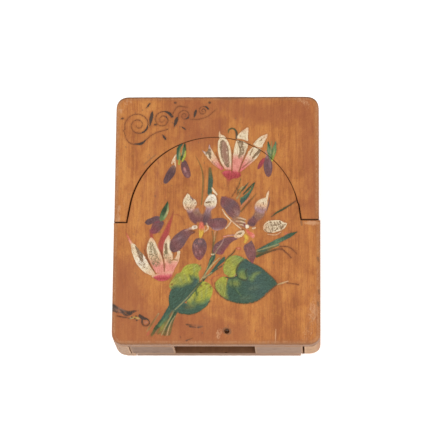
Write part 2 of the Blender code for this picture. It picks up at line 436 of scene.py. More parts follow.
class Painting:  # paint laid stroke by stroke: each point of the mesh keeps what is on top
    margin = 2.0  # how far round a stroke its colour is carried

    def __init__(self, places):
        count = len(places)
        self.places = places
        self.edge = np.full(count, -self.margin)
        self.colour = np.tile(np.array(palette["cream"], float), (count, 1))
        self.under = np.tile(np.append(palette["greyBrown"], 0.0), (count, 1))
        self.body = np.zeros(count)
        self.wear = np.zeros(count)
        self.brush = np.zeros((count, 3))
        self.marks = {name: np.zeros(count) for name in ("stain", "scuff", "dirtAndShade", "blush")}
        self.laid = 0

    def near(self, low, high):
        low, high = np.array(low) - self.margin, np.array(high) + self.margin
        return np.flatnonzero(((self.places > low) & (self.places < high)).all(1))

    def follow(self, points, widths, count):  # how far inside a stroke each point is, and where along it
        line = smoothLine(points, count)
        spots = np.linspace(0, 1, count)
        half = np.interp(spots, np.linspace(0, 1, len(widths)), widths) / 2
        reach = half.max()
        near = self.near(line.min(0) - reach, line.max(0) + reach)
        p = self.places[near]
        inside = np.full(len(near), -99.0)
        along, across = np.zeros(len(near)), np.zeros(len(near))
        for k in range(count - 1):
            way = line[k + 1] - line[k]
            share = np.clip(((p - line[k]) @ way) / (way @ way), 0, 1)
            off = p - line[k] - share[:, None] * way
            gap = np.hypot(off[:, 0], off[:, 1])
            deep = half[k] + (half[k + 1] - half[k]) * share - gap
            pick = deep > inside
            inside[pick] = deep[pick]
            along[pick] = (k + share[pick]) / (count - 1)
            across[pick] = (np.sign(way[0] * off[:, 1] - way[1] * off[:, 0]) * gap)[pick]
        length = np.hypot(*np.diff(line, axis=0).T).sum()
        return near, inside, along, across, length

    def lay(self, near, inside, colour, along, across, body=1.0, wear=0.12, soft=0.3, fade=0.0):
        # soft feathers the stroke over older paint, and fade thins it towards its own edge
        below = self.edge[near]
        painted = below > 0
        thick = body * (np.clip(inside / fade + 0.1, 0, 1) if fade else 1.0)
        over = np.clip(inside / soft + 0.5, 0, 1) * thick
        share = np.where(painted, over, inside > below)
        self.colour[near] += (colour - self.colour[near]) * share[:, None]
        self.under[near, 3] *= 1 - share
        self.wear[near] += (wear - self.wear[near]) * share
        older = self.body[near]
        both = 1 - (1 - older) * (1 - over)
        self.body[near] = np.where(painted, both, np.where(inside > below, thick, older))
        top = share > 0.5
        self.brush[near[top]] = np.stack([along, across, np.full(len(near), self.laid * 3.7)], 1)[top]
        self.edge[near] = np.maximum(below, inside)
        self.laid += 1

    def flake(self, near, share, strength, tone):  # older paint worn off, with tone left on the wood
        chosen = near[share > 0.02]
        share = share[share > 0.02]
        self.wear[chosen] = np.maximum(self.wear[chosen], strength * share)
        self.under[chosen, :3] = palette[tone]
        self.under[chosen, 3] = np.maximum(self.under[chosen, 3], 0.9 * share)

    def chip(self, points, widths, strength, tone="greyBrown", soft=0.5):
        near, inside = self.follow(points, widths, 20)[:2]
        self.flake(near, np.clip(inside / soft + 0.5, 0, 1), strength, tone)

    def stroke(self, points, widths, tones, count=24, **look):  # tones run from the first point to the last
        near, inside, along, across, length = self.follow(points, widths, count)
        self.lay(near, inside, blend(tones, along), along * length, across, **look)

    def petal(self, root, tip, width, tones, bend=0.0, full=0.5, **look):
        # a pointed form, fullest at that share of its length, bent sideways by bend
        root, tip = np.array(root, float), np.array(tip, float)
        way = tip - root
        middle = (root + tip) / 2 + np.array([-way[1], way[0]]) / np.hypot(*way) * bend
        rise = np.linspace(0, 1, 15) ** (math.log(0.5) / math.log(full))
        widths = width * np.sin(math.pi * np.clip(rise, 0, 1)) ** 0.62
        self.stroke([root, middle, tip], list(widths), tones, **look)

    def blob(self, centre, size, tilt, tones, **look):  # a rounded patch
        way = np.array([math.cos(math.radians(tilt)), math.sin(math.radians(tilt))])
        centre = np.array(centre, float)
        widths = size[1] * np.sqrt(np.clip(1 - np.linspace(-1, 1, 15) ** 2, 0, 1))
        reach = way * size[0] / 2
        self.stroke([centre - reach, centre + reach], list(widths), tones, **look)

    def curl(self, centre, radius, turns, start, way, swell):
        # a pen-drawn spiral that winds in from start degrees: a brown hairline with dark swells
        shares = np.linspace(0, 1, 25)
        angles = np.radians(start + way * 360 * turns * shares)
        reach = radius * (1 - 0.86 * shares**0.8)
        points = np.column_stack([centre[0] + reach * np.cos(angles), centre[1] + reach * np.sin(angles)])
        self.stroke(list(points), [0.34, 0.3], ["umber"] * 2, wear=0.16, body=0.75, count=90)
        swells = swell * (np.clip(np.sin(angles * way + 0.9), 0, 1) ** 3 * (1 - shares)) - 0.1
        self.stroke(list(points), list(swells), ["ink"] * 2, wear=0.14, body=0.9, count=90)

    def area(self, outline, tones, turn=90.0, hollow=0.0, rim=0.55, left="greyBrown", **look):
        # a filled outline with tones run across it towards turn, and paint lost inside its rim
        line = smoothLine(list(outline) + [outline[0]], 5 * len(outline))
        near = self.near(line.min(0), line.max(0))
        p = self.places[near]
        gap = np.full(len(near), 99.0)
        winding = np.zeros(len(near), bool)
        for a, b in zip(line[:-1], line[1:]):
            way = b - a
            if way @ way < 1e-9:
                continue
            share = np.clip(((p - a) @ way) / (way @ way), 0, 1)
            gap = np.minimum(gap, np.hypot(*(p - a - share[:, None] * way).T))
            crosses = (a[1] > p[:, 1]) != (b[1] > p[:, 1])
            with np.errstate(divide="ignore", invalid="ignore"):
                reach = a[0] + (p[:, 1] - a[1]) / way[1] * way[0]
            winding ^= crosses & (p[:, 0] < reach)
        inside = np.where(winding, gap, -gap)
        way = np.array([math.cos(math.radians(turn)), math.sin(math.radians(turn))])
        spot = p @ way
        lowest, highest = (line @ way).min(), (line @ way).max()
        colour = blend(tones, (spot - lowest) / (highest - lowest))
        self.lay(near, inside, colour, spot, p @ np.array([-way[1], way[0]]), **look)
        if hollow:
            self.flake(near, np.clip((inside - rim) / 0.4, 0, 1), hollow, left)

    def mark(self, kind, points, widths, strength, soft):  # a stain, scuff or smear in the wood itself
        near, inside = self.follow(points, widths, 24)[:2]
        layer = self.marks[kind]
        layer[near] = np.maximum(layer[near], strength * np.clip(inside / soft + 0.5, 0, 1))


def paintCyclamenAbove(art):
    thin = {"body": 0.55, "fade": 0.4, "wear": 0.2}
    art.stroke(
        [(3.9, 32.4), (4.2, 33.6), (5.4, 34.1), (6.5, 33.4), (7.0, 32.0), (6.8, 30.2)],
        [0.7, 1.0, 0.9, 1.0, 1.2, 0.8], ["olive", "darkGreen", "ink"], body=0.8, fade=0.3)
    art.stroke(
        [(4.2, 15.4), (4.0, 13.2), (4.1, 10.6)], [2.6, 1.8, 1.0], ["red", "umber"], body=0.55, fade=0.8,
        wear=0.25)
    art.stroke([(9.0, 18.4), (12.0, 20.4)], [0.3], ["rose"], **thin)
    art.area(
        [(1.6, 18.2), (-1.3, 20.3), (-3.9, 23.3), (-5.6, 25.8), (-4.6, 25.3), (-3.6, 25.6), (-3.0, 28.0),
        (-2.4, 26.6), (-0.8, 23.8), (0.8, 20.7), (2.2, 19.0)],
        ["rose", "pink", "warmCream", "cream", "lilac"], turn=125, wear=0.2)
    art.chip([(-4.0, 24.6), (-3.1, 25.7), (-2.6, 22.9)], [1.2, 1.8, 1.0], 0.72)
    art.chip([(-1.9, 21.5), (-0.3, 19.8)], [0.7, 0.5], 0.62, "mauveBrown")
    art.area(
        [(3.0, 18.5), (1.9, 20.2), (0.9, 22.4), (0.3, 24.7), (0.1, 27.1), (0.2, 29.1), (0.8, 30.2),
        (2.1, 30.5), (3.1, 30.1), (4.0, 28.7), (4.6, 27.1), (5.0, 25.1), (5.1, 22.9), (5.2, 20.5),
        (5.1, 18.5)], ["pink", "cream", "cream", "cream", "cream"], hollow=0.66, rim=0.5, wear=0.2)
    art.chip([(2.5, 28.4), (2.7, 24.6), (3.3, 21.4)], [0.9, 1.6, 0.9], 0.84, "mauveBrown", soft=0.8)
    art.area(
        [(0.5, 30.5), (0.4, 32.0), (0.7, 33.3), (1.1, 32.0), (1.9, 31.5), (2.4, 31.3), (2.9, 30.4)],
        ["cream", "warmCream"], wear=0.3)
    art.area(
        [(5.4, 17.7), (5.6, 19.8), (5.6, 22.4), (5.9, 24.9), (6.2, 27.1), (6.7, 28.9), (7.3, 29.6),
        (8.6, 29.4), (10.0, 28.9), (11.1, 27.8), (10.8, 26.1), (10.2, 24.2), (9.4, 22.2), (8.7, 20.5),
        (8.0, 18.9), (7.4, 17.5)], ["pink", "pink", "pink", "cream", "cream", "cream"], wear=0.2)
    art.chip([(8.3, 28.8), (9.0, 25.6), (8.0, 23.0)], [2.2, 2.2, 1.2], 0.62, "greyBrown")
    art.chip([(9.9, 27.4), (9.6, 25.0)], [1.0, 0.6], 0.5)
    art.area(
        [(8.0, 17.6), (8.5, 19.5), (9.4, 21.1), (10.3, 23.1), (11.0, 24.7), (11.9, 26.0), (13.0, 27.0),
        (14.5, 26.6), (16.0, 26.0), (15.2, 24.1), (14.0, 22.5), (12.6, 21.1), (10.9, 19.6), (9.1, 18.0)],
        ["rose", "pink", "cream", "cream"], turn=50, wear=0.2)
    art.area(
        [(13.0, 28.0), (14.1, 29.4), (15.4, 30.7), (16.8, 31.5), (18.3, 31.9), (18.0, 30.5), (17.2, 29.0),
        (16.6, 27.8), (16.3, 26.9), (14.6, 27.0)], ["cream", "cream", "warmCream"], turn=40, wear=0.26)
    for points, widths in (
            ([(12.9, 26.3), (11.9, 24.0)], [0.5, 0.6]), ([(17.3, 30.8), (15.5, 29.4)], [0.3, 0.6]),
            ([(15.4, 25.5), (13.7, 23.8), (12.6, 22.3)], [1.5, 1.2, 0.5])):
        art.chip(points, widths, 0.78)
    art.stroke(
        [(9.1, 19.1), (11.2, 20.9), (13.0, 22.2)], [0.35, 0.45, 0.3], ["umber", "mauveBrown"], body=0.8)
    art.area(
        [(7.1, 31.1), (8.0, 32.2), (9.0, 33.2), (10.0, 33.9), (11.2, 34.5), (11.2, 32.7), (11.1, 31.0),
        (11.1, 29.3), (9.9, 29.7), (8.5, 30.1), (7.2, 30.3)], ["cream", "cream", "warmCream"],
        hollow=0.36, rim=0.3, left="greyGreen")
    art.chip([(8.9, 32.8), (10.3, 34.0)], [0.6, 0.4], 0.6)
    art.area(
        [(1.6, 17.3), (3.0, 18.2), (4.8, 18.0), (6.4, 17.9), (7.8, 17.5), (8.6, 16.8), (8.2, 15.7),
        (7.1, 15.2), (5.9, 15.1), (4.9, 14.6), (3.9, 14.9), (3.1, 15.4), (2.2, 16.3)],
        ["crimson", "crimson", "rose"], soft=1.1, wear=0.1)
    for points in (
            [(-0.6, 24.9), (0.2, 22.7), (1.3, 20.6), (2.3, 19.0)],
            [(5.5, 26.0), (5.35, 20.9), (5.3, 17.4)], [(10.9, 26.4), (9.4, 22.0), (8.0, 18.0)]):
        art.stroke(points, [0.3, 0.36, 0.3], ["umber"], body=0.75, soft=0.4)


def paintCyclamenBelow(art):
    art.area(
        [(-15.9, 4.4), (-15.4, 2.4), (-15.9, -0.3), (-16.5, -3.0), (-17.1, -6.0), (-18.4, -9.0),
        (-19.2, -13.0), (-19.6, -16.5), (-20.6, -13.0), (-21.6, -10.0), (-20.9, -7.4), (-19.4, -4.3),
        (-18.2, -1.6), (-17.0, 0.8), (-16.4, 2.7)], ["umber", "red", "crimson", "red", "umber"], body=0.8,
        fade=0.7, wear=0.22)
    art.stroke(
        [(-24.0, -4.4), (-23.6, -6.6), (-22.6, -9.4)], [1.6, 1.7, 0.8], ["magenta", "red", "red"],
        body=0.7, fade=0.6)
    art.stroke(
        [(-33.2, -4.7), (-32.3, -6.5), (-31.6, -7.9), (-30.6, -9.7)], [0.3, 0.8, 1.0, 1.3],
        ["red", "coral", "pink", "warmCream"], body=0.85, fade=0.3, wear=0.3)
    art.area(
        [(-22.7, -21.2), (-24.2, -20.8), (-26.0, -19.9), (-27.6, -18.4), (-29.0, -16.5), (-30.0, -14.4),
        (-30.7, -12.3), (-30.9, -10.7), (-30.9, -9.5), (-30.0, -9.3), (-29.2, -10.0), (-28.3, -11.2),
        (-27.4, -12.3), (-26.4, -13.4), (-25.4, -15.1), (-24.4, -16.8), (-23.3, -18.6), (-22.0, -20.3)],
        ["warmCream", "cream", "white", "cream", "cream"], turn=130, wear=0.3)
    art.chip([(-28.9, -10.4), (-27.8, -12.8), (-26.9, -15.4)], [1.6, 2.2, 1.4], 0.68)
    art.chip([(-27.2, -16.2), (-25.2, -18.2)], [2.4, 1.6], 0.46)
    art.area(
        [(-21.8, -20.2), (-23.0, -18.1), (-24.0, -16.0), (-24.8, -14.1), (-25.2, -12.2), (-25.2, -10.2),
        (-24.8, -8.5), (-24.2, -7.2), (-23.5, -7.0), (-22.5, -8.1), (-21.6, -10.1), (-20.6, -12.2),
        (-19.8, -14.1), (-19.3, -15.7), (-19.0, -17.5), (-18.9, -20.0)],
        ["pink", "pink", "warmCream", "cream", "cream", "warmCream"], wear=0.24)
    art.chip([(-23.8, -8.8), (-23.2, -12.0), (-22.0, -16.2)], [1.8, 3.6, 4.0], 0.5, "greyGreen", soft=1.0)
    art.area(
        [(-18.6, -20.0), (-18.7, -17.3), (-19.1, -15.4), (-19.3, -13.1), (-19.3, -10.9), (-19.0, -8.9),
        (-18.4, -7.4), (-17.5, -6.1), (-16.9, -6.8), (-16.8, -8.5), (-16.9, -10.2), (-16.5, -11.8),
        (-15.8, -13.5), (-15.6, -15.1), (-15.1, -14.7), (-14.4, -13.5), (-14.1, -12.0), (-13.2, -12.0),
        (-13.3, -13.9), (-13.6, -15.5), (-14.3, -17.2), (-15.1, -18.6), (-16.0, -20.4)],
        ["pink", "pink", "warmCream", "cream", "cream", "warmCream"], wear=0.24)
    art.chip([(-18.4, -9.4), (-18.2, -12.8)], [1.2], 0.74)
    art.chip([(-18.3, -13.0), (-17.0, -15.8)], [2.4], 0.46, "greyGreen")
    art.stroke(
        [(-16.6, -15.5), (-15.4, -15.2), (-14.2, -15.4)], [0.3, 0.4, 0.3], ["olive"], body=0.7, wear=0.4)
    art.stroke([(-15.6, -11.6), (-15.5, -14.8)], [0.8, 0.5], ["umber"], body=0.7, fade=0.3)
    for points in (
            [(-26.2, -11.6), (-24.9, -15.3), (-23.6, -17.8), (-22.0, -20.4)],
            [(-20.3, -11.6), (-19.25, -14.6), (-18.95, -16.9), (-18.75, -20.0)]):
        art.stroke(points, [0.3, 0.42, 0.4, 0.3], ["umber"], body=0.85, soft=0.3)
    art.area(
        [(-23.0, -21.5), (-21.4, -20.6), (-19.5, -20.0), (-17.7, -19.7), (-15.9, -19.8), (-16.0, -21.0),
        (-16.7, -22.0), (-17.9, -22.8), (-19.5, -23.1), (-21.0, -22.9), (-22.2, -22.3)],
        ["rose", "crimson", "rose", "pink", "pink"], wear=0.08, soft=0.5)
    art.stroke(
        [(-23.1, -21.5), (-20.8, -20.5), (-18.6, -19.9), (-15.9, -19.8)], [0.5, 0.5, 0.4, 0.3],
        ["warmCream", "pink", "warmCream"], soft=0.5)


def paintVioletLeft(art):
    wash = {"body": 0.88, "fade": 0.9, "wear": 0.22}
    art.area(
        [(-11.2, 3.2), (-9.5, 2.6), (-7.8, 4.1), (-6.6, 4.3), (-5.4, 2.2), (-4.0, 3.6), (-2.6, 4.2),
        (-1.5, 0.9), (-2.0, -1.4), (-4.4, -2.2), (-6.5, -1.6), (-8.2, -2.1), (-9.5, -0.5), (-10.5, 1.5)],
        ["purple", "purple", "mauveBrown", "lilac"], **wash)
    art.stroke(
        [(-9.8, 2.6), (-8.8, 0.2), (-7.6, -1.8)], [2.8, 3.0, 1.2], ["purple"], body=0.8, fade=0.8,
        soft=1.2)
    art.stroke(
        [(-3.0, 3.6), (-3.8, 0.8), (-4.4, -1.6)], [2.8, 2.8, 2.4], ["lilac", "greyPurple", "darkPurple"],
        body=0.9, fade=0.8, soft=1.0)
    art.area(
        [(-3.6, -0.5), (-1.4, 0.2), (0.7, 0.5), (2.6, 0.3), (3.9, -0.7), (3.8, -2.3), (2.9, -3.5),
        (1.6, -4.2), (0.0, -4.5), (-1.3, -4.2), (-2.4, -3.3), (-3.4, -2.1)],
        ["lilac", "purple", "purple", "greyPurple"], hollow=0.27, rim=0.2, left="lilac", body=0.94,
        fade=0.35)
    art.blob((-0.3, -2.2), (2.2, 1.4), 20, ["magenta", "lilac"], body=0.45, soft=1.2)
    art.area(
        [(-10.8, 9.5), (-11.9, 7.8), (-12.4, 6.2), (-12.1, 4.5), (-11.2, 3.2), (-10.0, 2.4), (-9.0, 2.8),
        (-8.1, 3.9), (-7.4, 5.5), (-7.6, 6.8), (-8.5, 7.5), (-9.4, 8.3), (-10.1, 9.1)],
        ["lilac", "warmCream", "cream", "cream", "cream"], hollow=0.42, rim=0.3, soft=0.8)
    art.chip([(-9.6, 8.4), (-8.5, 7.0)], [1.0, 0.9], 0.62, "greyPurple")
    art.chip([(-7.8, 6.2), (-8.0, 4.4)], [0.8, 1.0], 0.5, "mauveBrown")
    art.chip([(-11.2, 4.3), (-10.0, 4.1)], [0.5], 0.7)
    art.area(
        [(-2.5, 9.3), (-1.1, 9.0), (-0.3, 8.0), (-0.1, 6.2), (-0.5, 4.6), (-1.4, 3.8), (-2.4, 3.6),
        (-3.6, 4.1), (-4.7, 5.3), (-4.2, 6.8), (-3.5, 8.2)], ["lilac", "cream", "white", "white"],
        hollow=0.38, rim=0.3, soft=0.8)
    art.chip([(-4.0, 6.1), (-2.5, 6.3)], [0.8, 0.9], 0.72)
    art.stroke(
        [(-1.8, 11.6), (-1.2, 10.5), (-0.2, 9.2)], [0.5, 0.9, 0.7], ["warmCream", "cream"], wear=0.25)
    art.stroke(
        [(-2.8, 9.6), (-1.0, 9.4), (0.1, 7.6), (0.1, 6.0)], [0.25, 0.35, 0.3, 0.2], ["umber"], body=0.7)
    art.area(
        [(-7.7, -4.5), (-9.9, -3.6), (-12.0, -3.8), (-13.8, -4.9), (-15.5, -6.3), (-16.9, -8.4),
        (-17.1, -11.2), (-15.8, -12.6), (-13.7, -12.1), (-11.9, -10.3), (-10.5, -7.9), (-9.2, -6.1),
        (-7.8, -5.4)], ["darkPurple", "purple", "greyPurple", "purple", "umber"], turn=35, hollow=0.27,
        rim=0.2, left="lilac", body=0.93, fade=0.35)
    art.stroke(
        [(-15.6, -8.0), (-13.4, -7.2), (-12.0, -6.0)], [1.0, 1.4, 0.6], ["lilac"], body=0.32, fade=0.6)
    art.area(
        [(-7.6, -7.2), (-8.5, -8.4), (-9.0, -10.2), (-8.9, -11.9), (-8.3, -13.7), (-7.2, -15.1),
        (-6.0, -15.6), (-5.0, -14.7), (-4.0, -13.1), (-3.4, -11.2), (-3.5, -9.3), (-4.0, -8.1),
        (-4.7, -7.3), (-5.9, -7.0)], ["magenta", "purple", "purple", "greyPurple", "greyPurple"],
        hollow=0.27, rim=0.2, left="lilac", body=0.93, fade=0.35)
    for spot, size in (
            ((-8.0, -9.9), 1.2), ((-7.1, -10.4), 0.9), ((-6.4, -8.6), 1.2), ((-5.6, -8.5), 1.0),
            ((-5.9, -12.4), 1.3), ((-7.4, -12.8), 0.9)):
        art.blob(spot, (size, 0.55), 100, ["lilac", "pink"], body=0.6, wear=0.3, soft=0.5)
    art.stroke(
        [(-11.4, -4.4), (-9.6, -3.6), (-8.4, -3.7)], [0.5, 0.9, 0.7], ["lilac", "cream"], body=0.8,
        wear=0.4)
    art.blob((-8.0, -3.1), (1.6, 1.4), 0, ["white", "cream"], wear=0.15)
    art.blob((-8.0, -3.1), (0.5, 0.5), 0, ["purple"], body=0.7)
    art.stroke(
        [(-3.7, -1.7), (-3.2, -3.4), (-4.0, -4.6)], [0.5, 0.8, 0.5], ["cream", "warmCream"], body=0.7,
        wear=0.3)
    art.stroke([(-5.6, -1.9), (-5.5, -3.4)], [1.5, 2.1], ["coral"], soft=0.7)
    art.stroke(
        [(-5.6, -3.2), (-5.6, -4.8), (-5.9, -6.8)], [1.6, 1.9, 0.9], ["coral", "yellow", "yellow"],
        soft=0.7)
    art.stroke([(-4.5, -3.0), (-4.4, -5.0)], [0.3], ["warmCream"], body=0.7)


def paintVioletRight(art):
    art.area(
        [(1.5, 8.5), (1.1, 6.9), (1.1, 5.3), (1.7, 4.3), (2.4, 3.6), (3.4, 2.0), (4.8, 0.6), (6.3, 0.0),
        (7.9, 0.9), (8.7, 2.7), (8.4, 4.4), (7.5, 6.0), (5.9, 7.3), (4.0, 8.0), (2.7, 8.5)],
        ["mauveBrown", "purple", "greyPurple", "purple", "purple"], turn=135, hollow=0.27, rim=0.2,
        left="lilac", body=0.92, fade=0.35)
    art.blob((7.0, 2.6), (3.4, 2.4), 120, ["lilac", "mauveBrown"], body=0.55, fade=0.8, soft=1.0)
    art.stroke([(2.0, 4.4), (2.2, 6.6)], [0.7, 0.6], ["lilac", "magenta"], body=0.5, soft=0.6)
    art.stroke(
        [(2.9, 8.4), (5.6, 7.5), (7.6, 6.0), (8.6, 4.2)], [0.3, 0.3, 0.3, 0.2], ["magenta", "umber"],
        body=0.6)
    art.area(
        [(5.3, 0.5), (7.0, 1.2), (8.9, 1.0), (10.3, -0.2), (10.6, -1.9), (9.9, -3.6), (8.7, -3.3),
        (7.4, -2.3), (6.2, -1.6), (5.0, -0.8)], ["purple", "mauveBrown", "mauveBrown"], wear=0.3,
        body=0.7, fade=0.7)
    for points in (
            [(7.4, 0.4), (8.8, 0.2), (10.4, -0.3)], [(7.0, -0.9), (8.8, -1.0), (10.4, -1.6)],
            [(8.2, -2.2), (9.4, -2.3), (10.2, -2.8)], [(5.4, -0.8), (7.2, -2.4), (8.8, -3.8)],
            [(2.0, 3.5), (3.1, 1.6), (5.3, -0.8)], [(5.3, -0.8), (4.3, -2.3), (3.3, -3.6)]):
        art.stroke(points, [0.4, 0.55, 0.4], ["warmCream", "cream"], wear=0.26, body=0.9)
    art.stroke([(7.6, -0.2), (10.0, -0.9)], [0.3, 0.35], ["olive"], body=0.7, wear=0.3)
    art.stroke([(8.4, -1.6), (10.2, -2.2)], [0.3], ["olive"], body=0.7, wear=0.3)
    # the middle right petal: washed purple below, cream above, with a pointed spine
    art.area(
        [(13.5, 3.4), (13.1, 2.2), (12.3, 0.9), (11.2, 0.0), (10.6, -1.3), (10.9, -2.4), (12.0, -3.2),
        (13.4, -3.3), (14.3, -2.4), (15.2, -1.3), (16.4, -0.4), (17.5, 0.9), (17.8, 2.5), (16.9, 3.4),
        (15.2, 3.6)], ["purple", "purple", "mauveBrown", "lilac"], turn=70, body=0.85, fade=1.0,
        wear=0.22)
    art.area(
        [(13.1, 1.4), (13.9, 0.9), (14.0, -0.2), (14.4, -1.5), (14.0, -2.7), (13.1, -3.1), (12.0, -2.8),
        (10.9, -1.8), (11.8, -0.6)], ["darkPurple", "purple", "greyPurple"], turn=80, body=0.9, fade=0.5,
        soft=1.2)
    art.area(
        [(13.3, 4.1), (13.7, 5.6), (14.6, 6.8), (15.9, 7.6), (17.3, 8.0), (18.3, 7.6), (18.6, 5.9),
        (18.4, 4.3), (17.7, 2.6), (16.2, 1.8), (14.8, 2.2), (13.7, 3.0)],
        ["lilac", "lilac", "warmCream", "cream", "cream"], turn=80, hollow=0.36, rim=0.4, fade=0.7,
        soft=2.0)
    art.stroke(
        [(18.8, 10.4), (18.4, 9.1), (18.0, 7.4)], [0.3, 0.9, 0.8], ["warmCream", "cream"], wear=0.2)
    art.stroke(
        [(19.4, 8.8), (19.0, 7.0), (18.7, 5.3), (18.2, 3.4), (17.9, 2.2)], [0.2, 0.6, 0.7, 0.6, 0.3],
        ["purple", "darkPurple", "mauveBrown"], body=0.85, fade=0.2)
    # the right petal: cream, with dashes of bare wood
    art.area(
        [(16.9, -4.1), (16.9, -2.7), (17.6, -1.6), (18.7, -0.8), (20.1, -0.6), (21.6, -0.5), (23.1, -0.7),
        (24.4, -1.4), (25.4, -1.7), (25.0, -2.9), (24.1, -3.9), (23.0, -4.5), (21.6, -4.9), (20.3, -5.3),
        (18.9, -5.3), (17.7, -4.9)], ["warmCream", "cream", "cream", "cream"], turn=20, hollow=0.44,
        rim=0.15, left="greyBrown")
    for points, width in (
            ([(19.3, -0.8), (19.5, -1.8)], 0.5), ([(19.8, -2.2), (20.2, -3.1)], 0.6),
            ([(22.8, -1.0), (23.2, -1.9)], 0.7), ([(20.7, -2.5), (22.3, -2.1)], 0.5),
            ([(20.2, -4.6), (20.4, -3.5)], 0.5), ([(21.2, -4.5), (22.4, -3.1)], 0.5),
            ([(17.3, -3.9), (18.1, -4.9)], 0.5), ([(18.3, -5.2), (20.0, -5.2)], 0.6),
            ([(23.3, -3.9), (24.9, -1.9)], 0.6)):
        art.chip(points, [width, width * 0.7], 0.8, soft=0.3)
    art.chip([(21.4, -1.4), (23.2, -3.0)], [1.6, 1.2], 0.5)
    art.stroke(
        [(18.4, -5.8), (21.5, -6.0), (23.3, -4.9)], [0.3, 0.45, 0.3], ["warmCream"], body=0.65, wear=0.25)
    # the lower petals
    art.area(
        [(6.2, -6.6), (4.5, -6.6), (3.0, -7.0), (1.4, -7.9), (-0.1, -8.8), (-1.1, -10.0), (-1.6, -11.6),
        (-1.4, -12.6), (-0.6, -13.1), (1.3, -13.5), (2.5, -13.1), (3.5, -11.2), (4.9, -9.5), (6.2, -8.4),
        (7.8, -7.5)], ["greyPurple", "purple", "purple", "magenta"], turn=-50, hollow=0.27, rim=0.2,
        left="lilac", body=0.93, fade=0.35)
    art.stroke(
        [(4.2, -10.0), (2.8, -11.4), (2.0, -12.8)], [0.9, 1.1, 0.9], ["magenta"], body=0.35, soft=0.8)
    art.stroke([(2.6, -6.7), (4.5, -6.2), (6.4, -6.1)], [0.4, 0.5, 0.4], ["pink", "lilac"], body=0.8)
    art.stroke(
        [(2.7, -7.2), (1.8, -9.3), (0.4, -11.2), (-0.6, -13.1)], [0.3, 0.36, 0.36, 0.36],
        ["lilac", "paleOlive"], body=0.85)
    art.area(
        [(6.2, -6.5), (6.9, -5.3), (8.2, -4.5), (9.8, -4.4), (10.2, -5.3), (9.5, -6.3), (8.1, -7.1),
        (6.7, -7.1)], ["warmCream", "cream"], turn=20, wear=0.2)
    art.chip([(7.4, -5.8), (8.9, -5.4)], [0.9], 0.62)
    art.area(
        [(9.9, -9.7), (11.6, -8.7), (12.6, -7.9), (13.4, -9.1), (14.1, -10.7), (14.5, -12.5),
        (14.4, -14.1), (13.8, -15.5), (13.2, -16.9), (12.0, -15.9), (10.9, -14.5), (10.1, -12.5),
        (9.6, -10.9)], ["magenta", "purple", "purple", "greyPurple"], turn=100, hollow=0.3, rim=0.2,
        left="lilac", body=0.9, fade=0.4)
    for spot in ((11.2, -11.4), (12.4, -13.2), (13.4, -11.8), (11.8, -14.2)):
        art.blob(spot, (1.3, 0.5), 95, ["lilac", "pink"], body=0.4, soft=0.5)
    art.area(
        [(10.4, -4.3), (11.1, -3.8), (12.0, -4.7), (13.2, -5.2), (13.9, -6.3), (13.2, -7.4), (12.0, -6.5),
        (11.1, -5.4)], ["coral", "coral", "pink"], turn=-30, wear=0.1, fade=0.2)
    art.area(
        [(10.0, -5.5), (11.0, -6.0), (11.6, -7.3), (11.1, -8.5), (10.2, -9.2), (9.7, -8.8), (10.1, -7.6),
        (9.7, -6.6)], ["yellow"], wear=0.08, fade=0.2)
    art.stroke([(9.2, -3.9), (10.0, -4.2)], [0.5, 0.4], ["umber"], body=0.8)
    art.blob((10.9, -2.9), (0.9, 1.5), 0, ["white", "cream"], wear=0.08)
    art.stroke([(10.0, -2.0), (10.3, -3.6)], [0.7, 0.4], ["magenta", "umber"], body=0.8)
    art.blob((13.5, -3.5), (1.4, 0.8), 15, ["cream", "warmCream"], wear=0.3)
    art.blob((25.0, -5.4), (1.6, 1.6), 0, ["coral"], body=0.45, fade=0.6)


